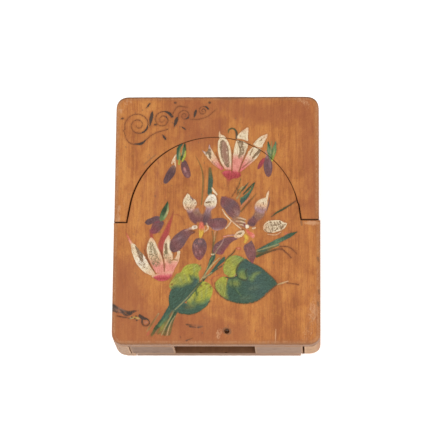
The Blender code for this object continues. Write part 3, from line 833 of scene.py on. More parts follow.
def paintBuds(art):
    # upper left
    art.stroke(
        [(-15.2, 24.0), (-16.0, 22.2), (-16.6, 20.9)], [0.5, 0.9, 0.7], ["cream", "warmCream"], wear=0.35)
    art.stroke([(-15.7, 22.4), (-15.3, 19.6)], [0.7, 0.6], ["cream", "warmCream"], wear=0.35)
    art.area(
        [(-16.4, 20.4), (-17.6, 19.1), (-18.9, 16.9), (-19.7, 14.7), (-19.5, 13.3), (-18.3, 13.2),
        (-17.0, 14.5), (-15.7, 16.1), (-15.0, 18.0), (-15.2, 19.9)],
        ["greyPurple", "darkPurple", "darkPurple", "mauveBrown"], turn=60, wear=0.12, fade=0.3)
    art.area(
        [(-13.1, 21.8), (-13.4, 19.7), (-13.0, 17.7), (-11.9, 15.8), (-10.6, 15.2), (-9.6, 16.1),
        (-9.9, 18.3), (-10.7, 20.5), (-11.7, 22.1)], ["purple", "purple", "darkPurple"], turn=110,
        wear=0.14, fade=0.2)
    art.blob((-11.8, 18.4), (1.9, 0.9), 110, ["lilac", "pink"], body=0.75, wear=0.2, soft=0.5)
    art.blob((-11.0, 16.6), (1.6, 0.7), 110, ["lilac", "purple"], body=0.6, wear=0.2, soft=0.5)
    art.stroke([(-12.0, 28.2), (-12.1, 25.7), (-13.3, 22.4)], [0.6, 1.3, 0.8], ["darkGreen"])
    art.stroke(
        [(-13.0, 28.3), (-14.2, 26.3), (-14.5, 22.6)], [0.6, 1.4, 0.9], ["teal", "darkGreen", "seaGreen"])
    art.stroke([(-13.7, 24.6), (-14.0, 20.6)], [0.6, 0.7], ["midGreen", "yellowGreen"], soft=0.4)
    art.stroke([(-11.6, 25.6), (-12.0, 23.5), (-12.8, 21.7)], [0.4, 0.9, 0.6], ["yellowGreen"])
    for points in (
            [(-12.5, 27.4), (-13.0, 24.0)], [(-13.6, 27.2), (-14.0, 24.0)],
            [(-11.9, 26.6), (-12.4, 23.6)]):
        art.stroke(points, [0.2, 0.5, 0.3], ["midGreen", "paleOlive"], body=0.75, wear=0.2)
    art.blob((-18.8, 9.4), (4.2, 1.5), 82, ["red", "crimson"], body=0.3, fade=0.8)
    # right
    art.blob((18.5, 19.7), (7.6, 3.4), 93, ["purple", "greyPurple", "purple"], wear=0.12, fade=0.2)
    art.blob((19.2, 20.6), (3.4, 0.7), 93, ["lilac"], body=0.5, soft=0.5)
    art.petal((17.2, 23.0), (14.7, 18.4), 1.8, ["crimson", "magenta"], wear=0.15, fade=0.3)
    art.stroke([(17.6, 25.4), (18.2, 23.0)], [1.0, 1.3], ["lilac"], body=0.5, fade=0.5)
    art.stroke(
        [(18.5, 28.9), (19.0, 25.6), (19.3, 22.6)], [0.4, 1.9, 0.6],
        ["darkGreen", "seaGreen", "midGreen"])
    art.stroke(
        [(21.3, 29.0), (20.7, 25.6), (19.9, 21.8)], [0.4, 1.8, 0.6],
        ["seaGreen", "midGreen", "yellowGreen"])
    for points in (
            [(18.2, 28.0), (18.8, 25.0)], [(19.8, 29.2), (19.6, 23.6)], [(21.2, 27.6), (20.4, 24.0)],
            [(19.2, 27.4), (19.4, 24.6)]):
        art.stroke(points, [0.2, 0.5, 0.3], ["midGreen", "paleOlive"], body=0.7, wear=0.25)
    art.stroke([(20.0, 26.4), (19.8, 22.4)], [0.3, 0.4], ["darkGreen"], body=0.8)
    # lower left
    art.area(
        [(-26.4, -1.4), (-25.5, -0.2), (-23.9, 0.5), (-22.1, 1.2), (-20.8, 0.9), (-20.8, -0.3),
        (-22.3, -1.2), (-23.6, -2.0), (-25.2, -2.4)], ["darkPurple", "greyPurple"], turn=0, wear=0.14,
        fade=0.3)
    art.area(
        [(-23.5, -2.0), (-22.0, -0.4), (-20.5, -0.4), (-19.2, -1.1), (-19.6, -3.0), (-20.7, -4.7),
        (-22.2, -5.6), (-23.8, -5.4), (-24.0, -3.8)], ["magenta", "purple", "greyPurple"], turn=50,
        wear=0.18, fade=0.2)
    art.blob((-21.6, -1.2), (2.0, 0.5), 10, ["magenta"], body=0.7)
    art.blob((-20.6, -5.0), (1.6, 1.0), 30, ["olive"], body=0.5, fade=0.4)
    art.area(
        [(-17.8, 7.0), (-18.9, 5.2), (-20.1, 3.3), (-20.8, 0.8), (-20.4, -0.9), (-19.1, 0.2),
        (-18.1, 2.2), (-17.6, 4.4)], ["midGreen", "darkGreen", "darkGreen"], turn=100, wear=0.08)
    art.stroke(
        [(-17.7, 5.4), (-18.1, 2.4), (-19.4, -0.2)], [0.4, 0.8, 0.8],
        ["midGreen", "paleOlive", "midGreen"], wear=0.1, soft=0.4)
    art.stroke(
        [(-15.5, 1.6), (-13.9, 1.4), (-12.5, 0.0), (-11.6, -2.2)], [0.25, 0.35, 0.35, 0.3],
        ["red", "umber"], body=0.5)


def paintLeaves(art):
    # left leaf
    art.area(
        [(-17.2, -24.9), (-16.5, -23.3), (-15.2, -21.4), (-14.5, -20.3), (-13.0, -19.7), (-12.1, -18.1),
        (-10.7, -17.0), (-8.8, -16.5), (-6.9, -16.6), (-5.5, -17.6), (-5.2, -18.6), (-6.2, -19.8),
        (-6.2, -21.0), (-5.9, -22.5), (-7.0, -24.5), (-10.6, -25.2), (-14.3, -26.0), (-16.6, -26.0)],
        ["leafGreen", "leafGreen", "yellowGreen", "leafGreen"], turn=40, hollow=0.2, rim=0.2,
        left="midGreen", fade=0.5)
    art.blob((-15.6, -23.6), (4.0, 2.0), 55, ["yellow", "leafGreen"], body=0.5, soft=1.4)
    art.area(
        [(-6.2, -24.0), (-5.1, -23.2), (-3.7, -23.3), (-2.3, -24.1), (-1.2, -25.6), (-1.2, -27.4),
        (-1.8, -29.2), (-2.7, -30.5), (-5.0, -32.2), (-8.3, -32.6), (-10.6, -31.6), (-10.1, -29.0),
        (-8.7, -27.2), (-7.3, -25.9)], ["leafGreen", "yellowGreen", "yellowGreen"], turn=30, hollow=0.2,
        rim=0.2, left="seaGreen", fade=0.3)
    art.area(
        [(-15.9, -25.6), (-14.6, -24.9), (-12.5, -25.0), (-10.9, -24.2), (-9.3, -23.8), (-8.7, -22.6),
        (-8.6, -21.2), (-7.3, -21.8), (-6.2, -22.4), (-6.2, -24.0), (-7.7, -25.8), (-9.3, -27.6),
        (-10.8, -29.3), (-12.4, -31.1), (-14.0, -33.4), (-16.3, -33.6), (-16.9, -31.5), (-17.1, -29.4),
        (-16.7, -27.3)], ["teal", "teal", "teal", "blueTeal"], turn=45, wear=-0.1, soft=1.8)
    art.area(
        [(-14.6, -34.4), (-14.4, -32.8), (-12.4, -31.4), (-10.8, -31.2), (-9.2, -31.8), (-7.7, -31.2),
        (-6.1, -31.2), (-4.6, -30.8), (-3.2, -29.7), (-2.2, -30.2), (-3.4, -32.2), (-5.4, -33.8),
        (-6.9, -34.7), (-9.4, -35.3), (-12.9, -35.0)], ["teal", "teal", "teal", "seaGreen"], turn=0,
        wear=-0.1, soft=2.4)
    art.blob((-9.2, -32.6), (3.6, 1.4), 10, ["olive", "leafGreen"], body=0.5, soft=1.4)
    art.stroke(
        [(-8.3, -31.2), (-7.0, -28.6), (-6.4, -27.0)], [0.8, 0.9, 0.4], ["teal", "leafGreen"], body=0.6,
        soft=1.0)
    art.stroke([(-7.5, -26.0), (-6.9, -28.2)], [0.9, 0.5], ["darkGreen"], body=0.8, soft=0.6)
    art.stroke([(-9.6, -21.0), (-8.9, -22.4)], [0.5, 0.7], ["darkGreen"], body=0.7, soft=0.6)
    for points in (
            [(-11.6, -20.6), (-10.6, -23.4)], [(-8.0, -17.4), (-8.0, -20.4)],
            [(-3.2, -25.0), (-3.8, -28.6)], [(-5.2, -26.6), (-5.2, -30.2)],
            [(-9.0, -28.8), (-8.4, -31.0)], [(-13.2, -21.6), (-12.4, -23.8)]):
        art.stroke(points, [0.3, 0.8, 0.3], ["paleOlive", "midGreen"], body=0.5, soft=0.7)
    for spot in (
            (-6.0, -17.4), (-2.0, -25.2), (-5.4, -24.9), (-3.5, -24.1), (-2.3, -30.7), (-16.0, -24.4)):
        art.blob(spot, (0.8, 0.6), 30, ["umber", "olive"], body=0.7, soft=0.4)
    art.stroke([(-16.9, -29.4), (-16.7, -31.6), (-16.0, -33.4)], [0.3, 0.4, 0.3], ["darkGreen"], body=0.6)
    art.stroke(
        [(-13.2, -35.0), (-9.6, -35.4), (-6.7, -34.6), (-3.8, -32.6), (-2.3, -30.4)],
        [0.3, 0.4, 0.4, 0.4, 0.2], ["darkGreen"], body=0.65)
    stem = [(-5.5, -23.6), (-7.7, -26.1), (-10.2, -29.1), (-12.4, -31.4), (-14.7, -33.6)]
    art.stroke(stem, [0.7, 1.1, 1.2, 1.0, 0.8], ["darkGreen", "teal", "teal"], wear=0.05)
    art.stroke(
        stem, [0.2, 0.35, 0.38, 0.38, 0.35], ["olive", "paleOlive", "paleOlive"], wear=0.26, body=0.75)

    # right leaf
    art.area(
        [(7.4, -19.2), (8.0, -17.5), (9.0, -15.9), (10.5, -14.8), (11.7, -15.7), (13.4, -16.8),
        (15.3, -17.6), (17.1, -18.9), (18.8, -20.5), (20.6, -22.1), (22.0, -24.0), (21.0, -25.4),
        (19.2, -26.5), (17.5, -28.2), (15.6, -29.8), (13.5, -30.8), (11.0, -31.2), (8.7, -31.2),
        (6.3, -30.8), (4.4, -30.1), (2.9, -29.3), (3.2, -26.9), (3.7, -24.4), (4.2, -22.4), (5.5, -21.6),
        (6.7, -21.4), (7.5, -21.0)], ["teal", "teal", "blueTeal", "teal"], turn=20, wear=-0.2)
    art.area(
        [(2.8, -20.3), (2.4, -18.6), (2.8, -16.9), (3.7, -15.3), (5.3, -13.9), (7.0, -13.6), (8.6, -14.0),
        (10.2, -15.0), (9.0, -15.9), (8.0, -17.3), (7.3, -18.8), (7.2, -20.2), (6.3, -21.6), (5.3, -21.8),
        (4.2, -21.3)], ["leafGreen", "yellowGreen", "leafGreen", "midGreen"], turn=35, hollow=0.2,
        rim=0.2, left="midGreen", soft=1.0)
    art.area(
        [(-0.5, -24.4), (0.1, -23.0), (1.5, -21.9), (3.2, -21.5), (3.9, -22.6), (3.6, -24.4),
        (3.8, -26.2), (3.7, -27.7), (4.2, -29.5), (2.1, -28.7), (0.9, -27.3), (-0.1, -25.9)],
        ["leafGreen", "leafGreen", "yellowGreen"], turn=100, hollow=0.16, rim=0.2, left="midGreen",
        soft=1.4)
    art.area(
        [(8.0, -20.2), (8.6, -19.3), (9.7, -18.9), (10.6, -19.8), (11.0, -21.4), (10.7, -22.5),
        (9.4, -22.5), (8.3, -21.8)], ["leafGreen", "midGreen"], turn=60, soft=1.5, body=0.9, wear=0)
    art.area(
        [(11.5, -21.8), (12.5, -21.2), (13.4, -20.2), (14.8, -19.9), (15.8, -20.0), (14.4, -21.0),
        (13.8, -22.2), (12.9, -23.4), (12.0, -22.8)], ["midGreen", "leafGreen"], turn=40, soft=1.3,
        body=0.8, wear=0)
    art.area(
        [(4.2, -22.4), (5.3, -22.4), (6.7, -22.2), (8.2, -22.4), (8.5, -24.4), (7.9, -26.0), (6.7, -26.0),
        (5.5, -25.6), (4.6, -24.2)], ["teal", "leafGreen", "midGreen"], turn=90, soft=1.8, body=0.75,
        wear=0)
    art.stroke(
        [(5.9, -22.6), (5.8, -24.2), (7.0, -26.4), (8.2, -28.0)], [0.3, 0.5, 0.5, 0.3], ["darkGreen"],
        body=0.7, soft=0.5)
    art.stroke([(7.3, -26.2), (9.0, -28.6)], [0.4, 0.3], ["midGreen"], body=0.6, soft=0.5)
    for points in (
            [(3.4, -21.7), (5.5, -22.0), (6.7, -21.6), (7.3, -20.0)],
            [(7.4, -20.4), (7.9, -21.9), (9.4, -22.7), (10.9, -22.7), (11.4, -21.6)],
            [(7.2, -20.6), (7.3, -18.6), (8.2, -16.9), (9.6, -15.4)],
            [(10.9, -21.4), (10.6, -19.6), (11.2, -18.6)]):
        art.stroke(points, [0.4, 0.55, 0.5, 0.2], ["darkGreen", "ink"], body=0.8, soft=0.4)
    art.blob((6.7, -20.9), (1.2, 0.5), 60, ["paleOlive"], body=0.7, soft=0.4)
    for points in (
            [(3.6, -16.4), (4.4, -18.8)], [(5.8, -14.6), (6.4, -17.2)], [(5.0, -17.6), (5.2, -20.4)],
            [(1.2, -23.2), (1.6, -26.0)], [(12.2, -26.0), (16.4, -24.8)], [(9.0, -29.6), (14.2, -28.8)]):
        art.stroke(points, [0.5, 1.8, 0.5], ["paleOlive", "seaGreen"], body=0.24, soft=1.6)
    art.stroke(
        [(-0.5, -23.8), (-0.2, -26.4), (2.7, -29.4), (6.4, -30.9), (10.6, -31.4), (14.4, -30.6),
        (17.3, -28.7), (19.8, -26.2), (22.0, -24.3)], [0.35, 0.4, 0.4, 0.4],
        ["umber", "darkGreen", "umber"], body=0.75)
    art.stroke(
        [(11.0, -15.5), (15.3, -17.6), (18.2, -19.9), (20.8, -22.3), (22.1, -24.1)], [0.3, 0.4, 0.4],
        ["darkGreen", "umber"], body=0.7)
    art.stroke(
        [(2.4, -20.8), (-0.3, -21.3), (-1.7, -22.4), (-1.2, -25.0), (-0.4, -26.2)], [0.5, 0.7, 0.7, 0.4],
        ["coral", "red", "umber"], body=0.55, fade=0.2)
    art.stroke(
        [(22.1, -24.4), (24.0, -23.8), (25.8, -23.2)], [0.5, 0.6, 0.5], ["paleOlive", "warmCream"],
        wear=0.3, body=0.6)
    art.stroke([(25.4, -23.8), (29.6, -24.4)], [0.4], ["umber"], body=0.75)


def paintStems(art):
    pale = {"wear": 0.28, "body": 0.8}
    art.stroke(
        [(-20.6, -35.1), (-22.3, -37.8), (-23.9, -40.2), (-24.8, -41.6)], [0.9, 1.1, 1.0, 0.6],
        ["paleOlive", "olive", "paleOlive"], body=0.5, fade=0.3, wear=0.3)
    art.stroke(
        [(-20.9, -35.4), (-22.7, -38.1), (-24.2, -41.0)], [0.3, 0.4, 0.3], ["umber", "olive"], body=0.7,
        wear=0.2)
    art.stroke([(-20.4, -39.0), (-21.8, -42.4)], [0.8, 0.6], ["pink", "coral"], body=0.45, fade=0.3)
    art.blob((-22.8, -40.2), (1.6, 0.9), 60, ["crimson", "red"], body=0.45, fade=0.4)
    art.blob((-24.3, -42.4), (2.0, 1.0), 60, ["red", "coral"], body=0.6, fade=0.4)
    art.area(
        [(-17.2, -32.4), (-13.6, -33.6), (-15.0, -37.6), (-16.2, -42.8), (-18.6, -43.2), (-19.8, -42.6),
        (-21.2, -42.6), (-22.6, -42.8), (-20.6, -39.4), (-18.4, -35.6)], ["olive", "olive", "teal"],
        body=0.62, wear=0.3, fade=0.3)
    art.stroke(
        [(-16.2, -32.6), (-18.2, -36.1), (-19.8, -38.4), (-21.6, -40.6), (-23.0, -43.0)],
        [2.0, 1.9, 1.6, 1.3, 0.9], ["teal", "teal", "darkGreen", "olive"], wear=0.1)
    art.stroke(
        [(-17.0, -35.2), (-18.9, -37.8), (-20.2, -39.6)], [0.6, 0.7, 0.9], ["seaGreen", "midGreen"],
        body=0.8, soft=0.5)
    art.stroke(
        [(-17.0, -36.4), (-18.6, -38.9), (-19.6, -40.9), (-20.7, -42.6)], [1.0, 1.2, 1.2, 0.8],
        ["teal", "leafGreen", "olive"], body=0.8, fade=0.3, wear=0.2)
    art.stroke(
        [(-14.4, -34.1), (-16.1, -37.2), (-17.4, -39.7), (-18.4, -42.8)], [1.0, 1.1, 1.1, 0.9],
        ["darkGreen", "darkGreen", "olive"], wear=0.15)
    art.stroke(
        [(-14.6, -35.4), (-16.0, -39.6), (-16.7, -42.9)], [0.6, 0.8, 0.6], ["teal", "olive", "olive"],
        body=0.8)
    art.stroke(
        [(-15.0, -34.0), (-16.8, -37.4), (-18.3, -40.3), (-19.4, -42.9)], [0.3, 0.45, 0.45, 0.4],
        ["paleOlive"], **pale)
    art.stroke(
        [(-14.7, -36.0), (-15.9, -37.8), (-16.8, -40.0), (-17.5, -43.0)], [0.3, 0.35, 0.4, 0.4],
        ["paleOlive", "warmCream"], **pale)
    # from the left leaf up to the flowers
    art.area(
        [(-5.6, -23.6), (-4.6, -20.8), (-3.4, -18.2), (-2.8, -16.2), (-1.9, -13.9), (-0.6, -12.8),
        (-0.4, -14.6), (-1.6, -16.6), (-2.9, -18.6), (-4.2, -21.2)], ["darkGreen", "teal"], wear=0.1)
    art.area(
        [(-5.4, -23.4), (-3.0, -20.9), (-0.9, -18.1), (0.8, -15.9), (2.8, -14.1), (3.0, -15.5),
        (1.6, -16.9), (-0.7, -19.3), (-3.0, -21.4), (-5.0, -23.8)], ["darkGreen", "teal", "teal"],
        turn=50, wear=0.1)
    art.stroke(
        [(-5.0, -22.8), (-0.6, -19.4), (2.8, -17.0)], [0.3, 0.5, 0.3], ["darkGreen", "teal"], body=0.85)
    art.stroke(
        [(-5.5, -22.7), (-3.3, -19.4), (-1.1, -16.6), (1.3, -14.4)], [0.4, 0.5, 0.5, 0.3], ["paleOlive"],
        **pale)
    art.stroke(
        [(-3.6, -19.0), (-2.6, -16.6), (-1.4, -14.2)], [0.3, 0.4, 0.3], ["paleOlive", "midGreen"], **pale)
    art.stroke([(-4.0, -21.6), (-1.6, -20.0)], [0.4], ["paleOlive"], **pale)
    art.blob((-4.1, -21.4), (1.6, 1.0), 50, ["paleOlive", "greyBrown"], body=0.7, soft=0.6)
    art.blob((-1.4, -13.2), (1.0, 0.8), 0, ["cream", "warmCream"], body=0.85, wear=0.2)
    art.stroke(
        [(7.2, -10.8), (6.0, -12.7), (4.3, -14.3), (3.0, -15.8)], [0.3, 0.5, 0.5, 0.4],
        ["umber", "darkGreen"], body=0.85)
    art.blob((8.0, -11.1), (1.7, 1.7), 0, ["coral", "red"], body=0.5, fade=0.3)
    art.blob((8.0, -11.1), (0.7, 0.7), 0, ["warmCream"], body=0.4)
    art.stroke(
        [(-1.6, -4.6), (-1.2, -7.5), (-1.4, -12.8)], [0.4, 0.5, 0.7], ["olive", "olive", "darkGreen"],
        body=0.7)
    art.stroke([(0.3, -4.5), (-0.5, -7.6), (-0.9, -9.4)], [0.3, 0.4, 0.4], ["olive"], body=0.65)
    art.stroke([(-0.6, -4.6), (-0.9, -8.4)], [0.35, 0.3], ["warmCream", "paleOlive"], body=0.6)
    # blades to the right
    art.stroke(
        [(14.6, -14.0), (18.2, -12.5), (22.7, -11.2), (24.6, -12.1), (27.0, -14.5)],
        [1.0, 0.8, 0.7, 0.6, 0.4], ["darkGreen", "umber", "umber"], body=0.85)
    art.stroke(
        [(14.4, -12.9), (18.6, -11.1), (22.4, -9.7)], [1.5, 1.7, 0.9],
        ["olive", "teal", "olive", "seaGreen"], body=0.85, fade=0.2)
    art.area(
        [(14.3, -11.6), (16.8, -10.2), (19.2, -8.9), (21.5, -7.7), (24.1, -6.6), (25.7, -5.5),
        (27.6, -5.1), (29.2, -4.8), (28.0, -6.0), (26.5, -7.1), (24.5, -8.1), (22.5, -9.1), (20.7, -10.0),
        (17.7, -11.4), (15.4, -12.4)], ["teal", "teal", "seaGreen", "teal", "darkGreen"], turn=25,
        wear=0.16, body=0.95)
    art.stroke(
        [(17.0, -10.8), (20.6, -9.1), (24.4, -7.6)], [0.3, 0.5, 0.3], ["seaGreen", "midGreen"], body=0.45,
        soft=0.5)
    art.stroke([(14.4, -12.0), (18.0, -10.9), (22.2, -9.5)], [0.3, 0.45, 0.3], ["paleOlive"], body=0.8)
    art.stroke(
        [(22.7, -10.4), (25.6, -10.4), (27.3, -11.3), (29.0, -13.0)], [0.4, 0.5, 0.5, 0.3], ["umber"],
        body=0.8)
    art.stroke(
        [(28.8, 6.7), (26.0, 4.8), (23.7, 3.4), (21.6, 2.2), (19.7, 0.7)], [0.5, 0.7, 0.75, 0.6, 0.3],
        ["umber", "darkGreen", "darkGreen"], body=0.85, wear=0.05)
    # above the flowers
    art.stroke([(8.6, 15.0), (7.6, 12.0), (5.2, 8.0)], [0.3, 0.5, 0.35], ["olive", "umber"], body=0.75)
    art.stroke(
        [(-2.7, 18.8), (-2.4, 14.4), (-2.7, 9.6)], [1.3, 2.0, 1.8], ["olive", "teal", "teal"], wear=0.1,
        body=0.9, fade=0.2)
    art.stroke(
        [(-8.0, 23.8), (-5.9, 19.4), (-5.1, 14.4), (-5.6, 5.4)], [0.4, 0.8, 1.0, 0.8], ["olive"],
        body=0.75, fade=0.3, wear=0.25)
    art.area(
        [(8.8, 5.2), (8.4, 6.9), (9.3, 8.2), (10.6, 9.4), (11.9, 10.8), (13.2, 13.0), (13.9, 13.9),
        (13.3, 11.8), (12.7, 10.4), (11.9, 9.0), (11.2, 7.8), (10.0, 6.5)],
        ["blueTeal", "teal", "darkGreen"], turn=55, wear=0.1)
    art.stroke([(9.6, 9.2), (11.2, 11.0), (13.4, 13.4)], [0.4, 0.7, 0.4], ["darkGreen"], body=0.9)
    art.stroke(
        [(8.2, 9.6), (9.9, 11.6), (11.4, 13.6)], [0.5, 1.0, 0.4], ["darkGreen", "teal"], body=0.85,
        fade=0.2)
    art.stroke([(7.6, 10.4), (9.4, 12.0)], [0.4, 0.5], ["midGreen", "paleOlive"], body=0.75, wear=0.25)
    art.stroke(
        [(8.4, 7.6), (10.4, 8.7), (12.9, 11.6)], [0.4, 0.5, 0.4], ["midGreen", "seaGreen", "midGreen"],
        body=0.85, soft=0.4)
    art.stroke([(6.9, 11.8), (7.6, 10.6), (7.4, 9.2)], [0.4, 0.8, 0.5], ["umber", "olive"], body=0.75)
    art.stroke([(7.2, 7.6), (8.2, 9.0), (8.8, 10.4)], [0.5, 0.6, 0.3], ["paleOlive", "olive"], body=0.7)
    art.stroke(
        [(8.7, 2.6), (10.4, 4.8), (12.0, 6.7), (14.3, 9.4)], [0.4, 0.7, 0.7, 0.2],
        ["olive", "umber", "olive"], body=0.8)
    art.stroke([(8.5, 4.3), (11.8, 7.7)], [0.3, 0.4], ["pink"], body=0.5)


def paintFlourish(art):
    # scrolls with swelling turns, tear-shaped leaves and dots, in pen-like strokes
    art.curl((-29.2, 35.4), 5.2, 2.0, 200, -1, 1.35)
    art.curl((-20.2, 37.4), 3.7, 1.9, 20, 1, 1.25)
    art.curl((-12.2, 39.0), 2.5, 1.7, 200, -1, 1.2)
    art.curl((-5.4, 40.8), 2.0, 1.7, 20, 1, 0.9)
    hair = {"wear": 0.16, "body": 0.75, "count": 48}
    art.stroke(
        [(-34.6, 33.6), (-32.6, 29.0), (-28.4, 28.2), (-23.6, 32.0), (-18.4, 33.8)], [0.3, 0.4],
        ["umber"], **hair)
    art.stroke([(-31.4, 28.4), (-28.0, 28.4), (-25.6, 30.6)], [0.0, 1.1, 0.0], ["ink"], body=0.9)
    art.stroke([(-17.0, 38.8), (-14.8, 42.4), (-11.0, 42.2)], [0.3, 0.5, 0.25], ["umber"], **hair)
    art.stroke(
        [(-10.0, 37.6), (-7.0, 37.6), (-3.6, 38.8), (-0.4, 41.6)], [0.25, 0.4, 0.3, 0.2], ["umber"],
        **hair)
    for root, tip, width in (
            ((-25.0, 34.6), (-24.0, 40.8), 1.3), ((-16.0, 34.6), (-14.8, 38.6), 1.3),
            ((-20.4, 31.9), (-18.8, 29.8), 0.8), ((-26.4, 41.8), (-24.8, 44.0), 0.7),
            ((-8.8, 38.0), (-7.9, 41.4), 1.0), ((-13.4, 34.9), (-11.6, 33.6), 0.6)):
        art.petal(root, tip, width, ["ink"], wear=0.14, body=0.85, full=0.6)
    for spot in ((-35.0, 38.0), (-22.8, 35.6), (-15.6, 44.0), (-3.0, 44.0)):
        art.blob(spot, (0.8, 0.8), 0, ["ink", "umber"], wear=0.1, body=0.8)
    # a faded smear of ink and a small ring near the lower left corner
    smear = [(-37.6, -33.0), (-35.8, -33.4), (-33.6, -34.4), (-32.2, -35.1), (-31.0, -34.9), (-29.5, -34.2),
             (-28.2, -34.0)]
    art.stroke(
        smear, [3.4, 2.6, 2.2, 2.6, 2.2, 1.2, 0.5], ["ink", "mauveBrown", "ink", "ink", "umber"],
        body=0.85, fade=0.6, wear=0.34)
    for points in (
            [(-37.4, -31.6), (-35.2, -33.4)], [(-34.6, -33.6), (-32.6, -35.4)],
            [(-32.4, -34.0), (-30.4, -35.6)], [(-36.6, -34.2), (-34.8, -34.9)],
            [(-30.6, -34.6), (-28.6, -34.2)]):
        art.stroke(points, [0.5, 1.1, 0.4], ["ink"], body=0.75, wear=0.34, fade=0.3)
    art.stroke(
        [(-35.6, -36.0), (-32.7, -36.5), (-30.6, -36.9)], [0.5, 0.45, 0.3], ["umber", "ink"], body=0.8,
        wear=0.2)
    art.stroke(
        [(-30.7, -36.8), (-29.1, -36.5), (-27.6, -37.0)], [0.7, 1.0, 0.6],
        ["paleOlive", "yellow", "paleOlive"], body=0.6, wear=0.35)
    for spot in ((-29.2, -36.9), (-28.5, -37.5), (-28.8, -36.1), (-30.2, -36.4)):
        art.blob(spot, (0.6, 0.5), 0, ["ink"], body=0.85)
    art.stroke(
        [(-27.4, -35.9), (-26.2, -36.8), (-24.6, -37.2), (-23.9, -38.3), (-24.6, -39.4), (-25.8, -39.5),
        (-26.5, -38.6), (-26.5, -37.3)], [1.2, 1.3, 0.5, 0.45, 0.6, 0.6, 0.7, 0.7],
        ["ink", "ink", "umber", "ink"], body=0.85, wear=0.2, count=40)
    art.blob((-25.2, -38.3), (1.0, 1.0), 0, ["mauveBrown", "pink"], body=0.5, wear=0.3)
    art.blob((-7.6, -39.6), (6.8, 2.0), -4, ["umber", "mauveBrown"], body=0.4, fade=0.6, wear=0.3)
    for points, width in (
            ([(-10.6, -39.0), (-8.6, -39.3)], 0.9), ([(-10.6, -45.0), (-8.2, -44.0)], 0.8),
            ([(-9.3, -39.8), (-7.2, -40.2)], 1.0), ([(-12.8, -43.4), (-12.4, -44.4)], 0.6),
            ([(-6.4, -40.2), (-4.8, -39.8)], 0.9)):
        art.stroke(points, [width, width * 0.7], ["ink", "umber"], body=0.7, fade=0.3, wear=0.3)


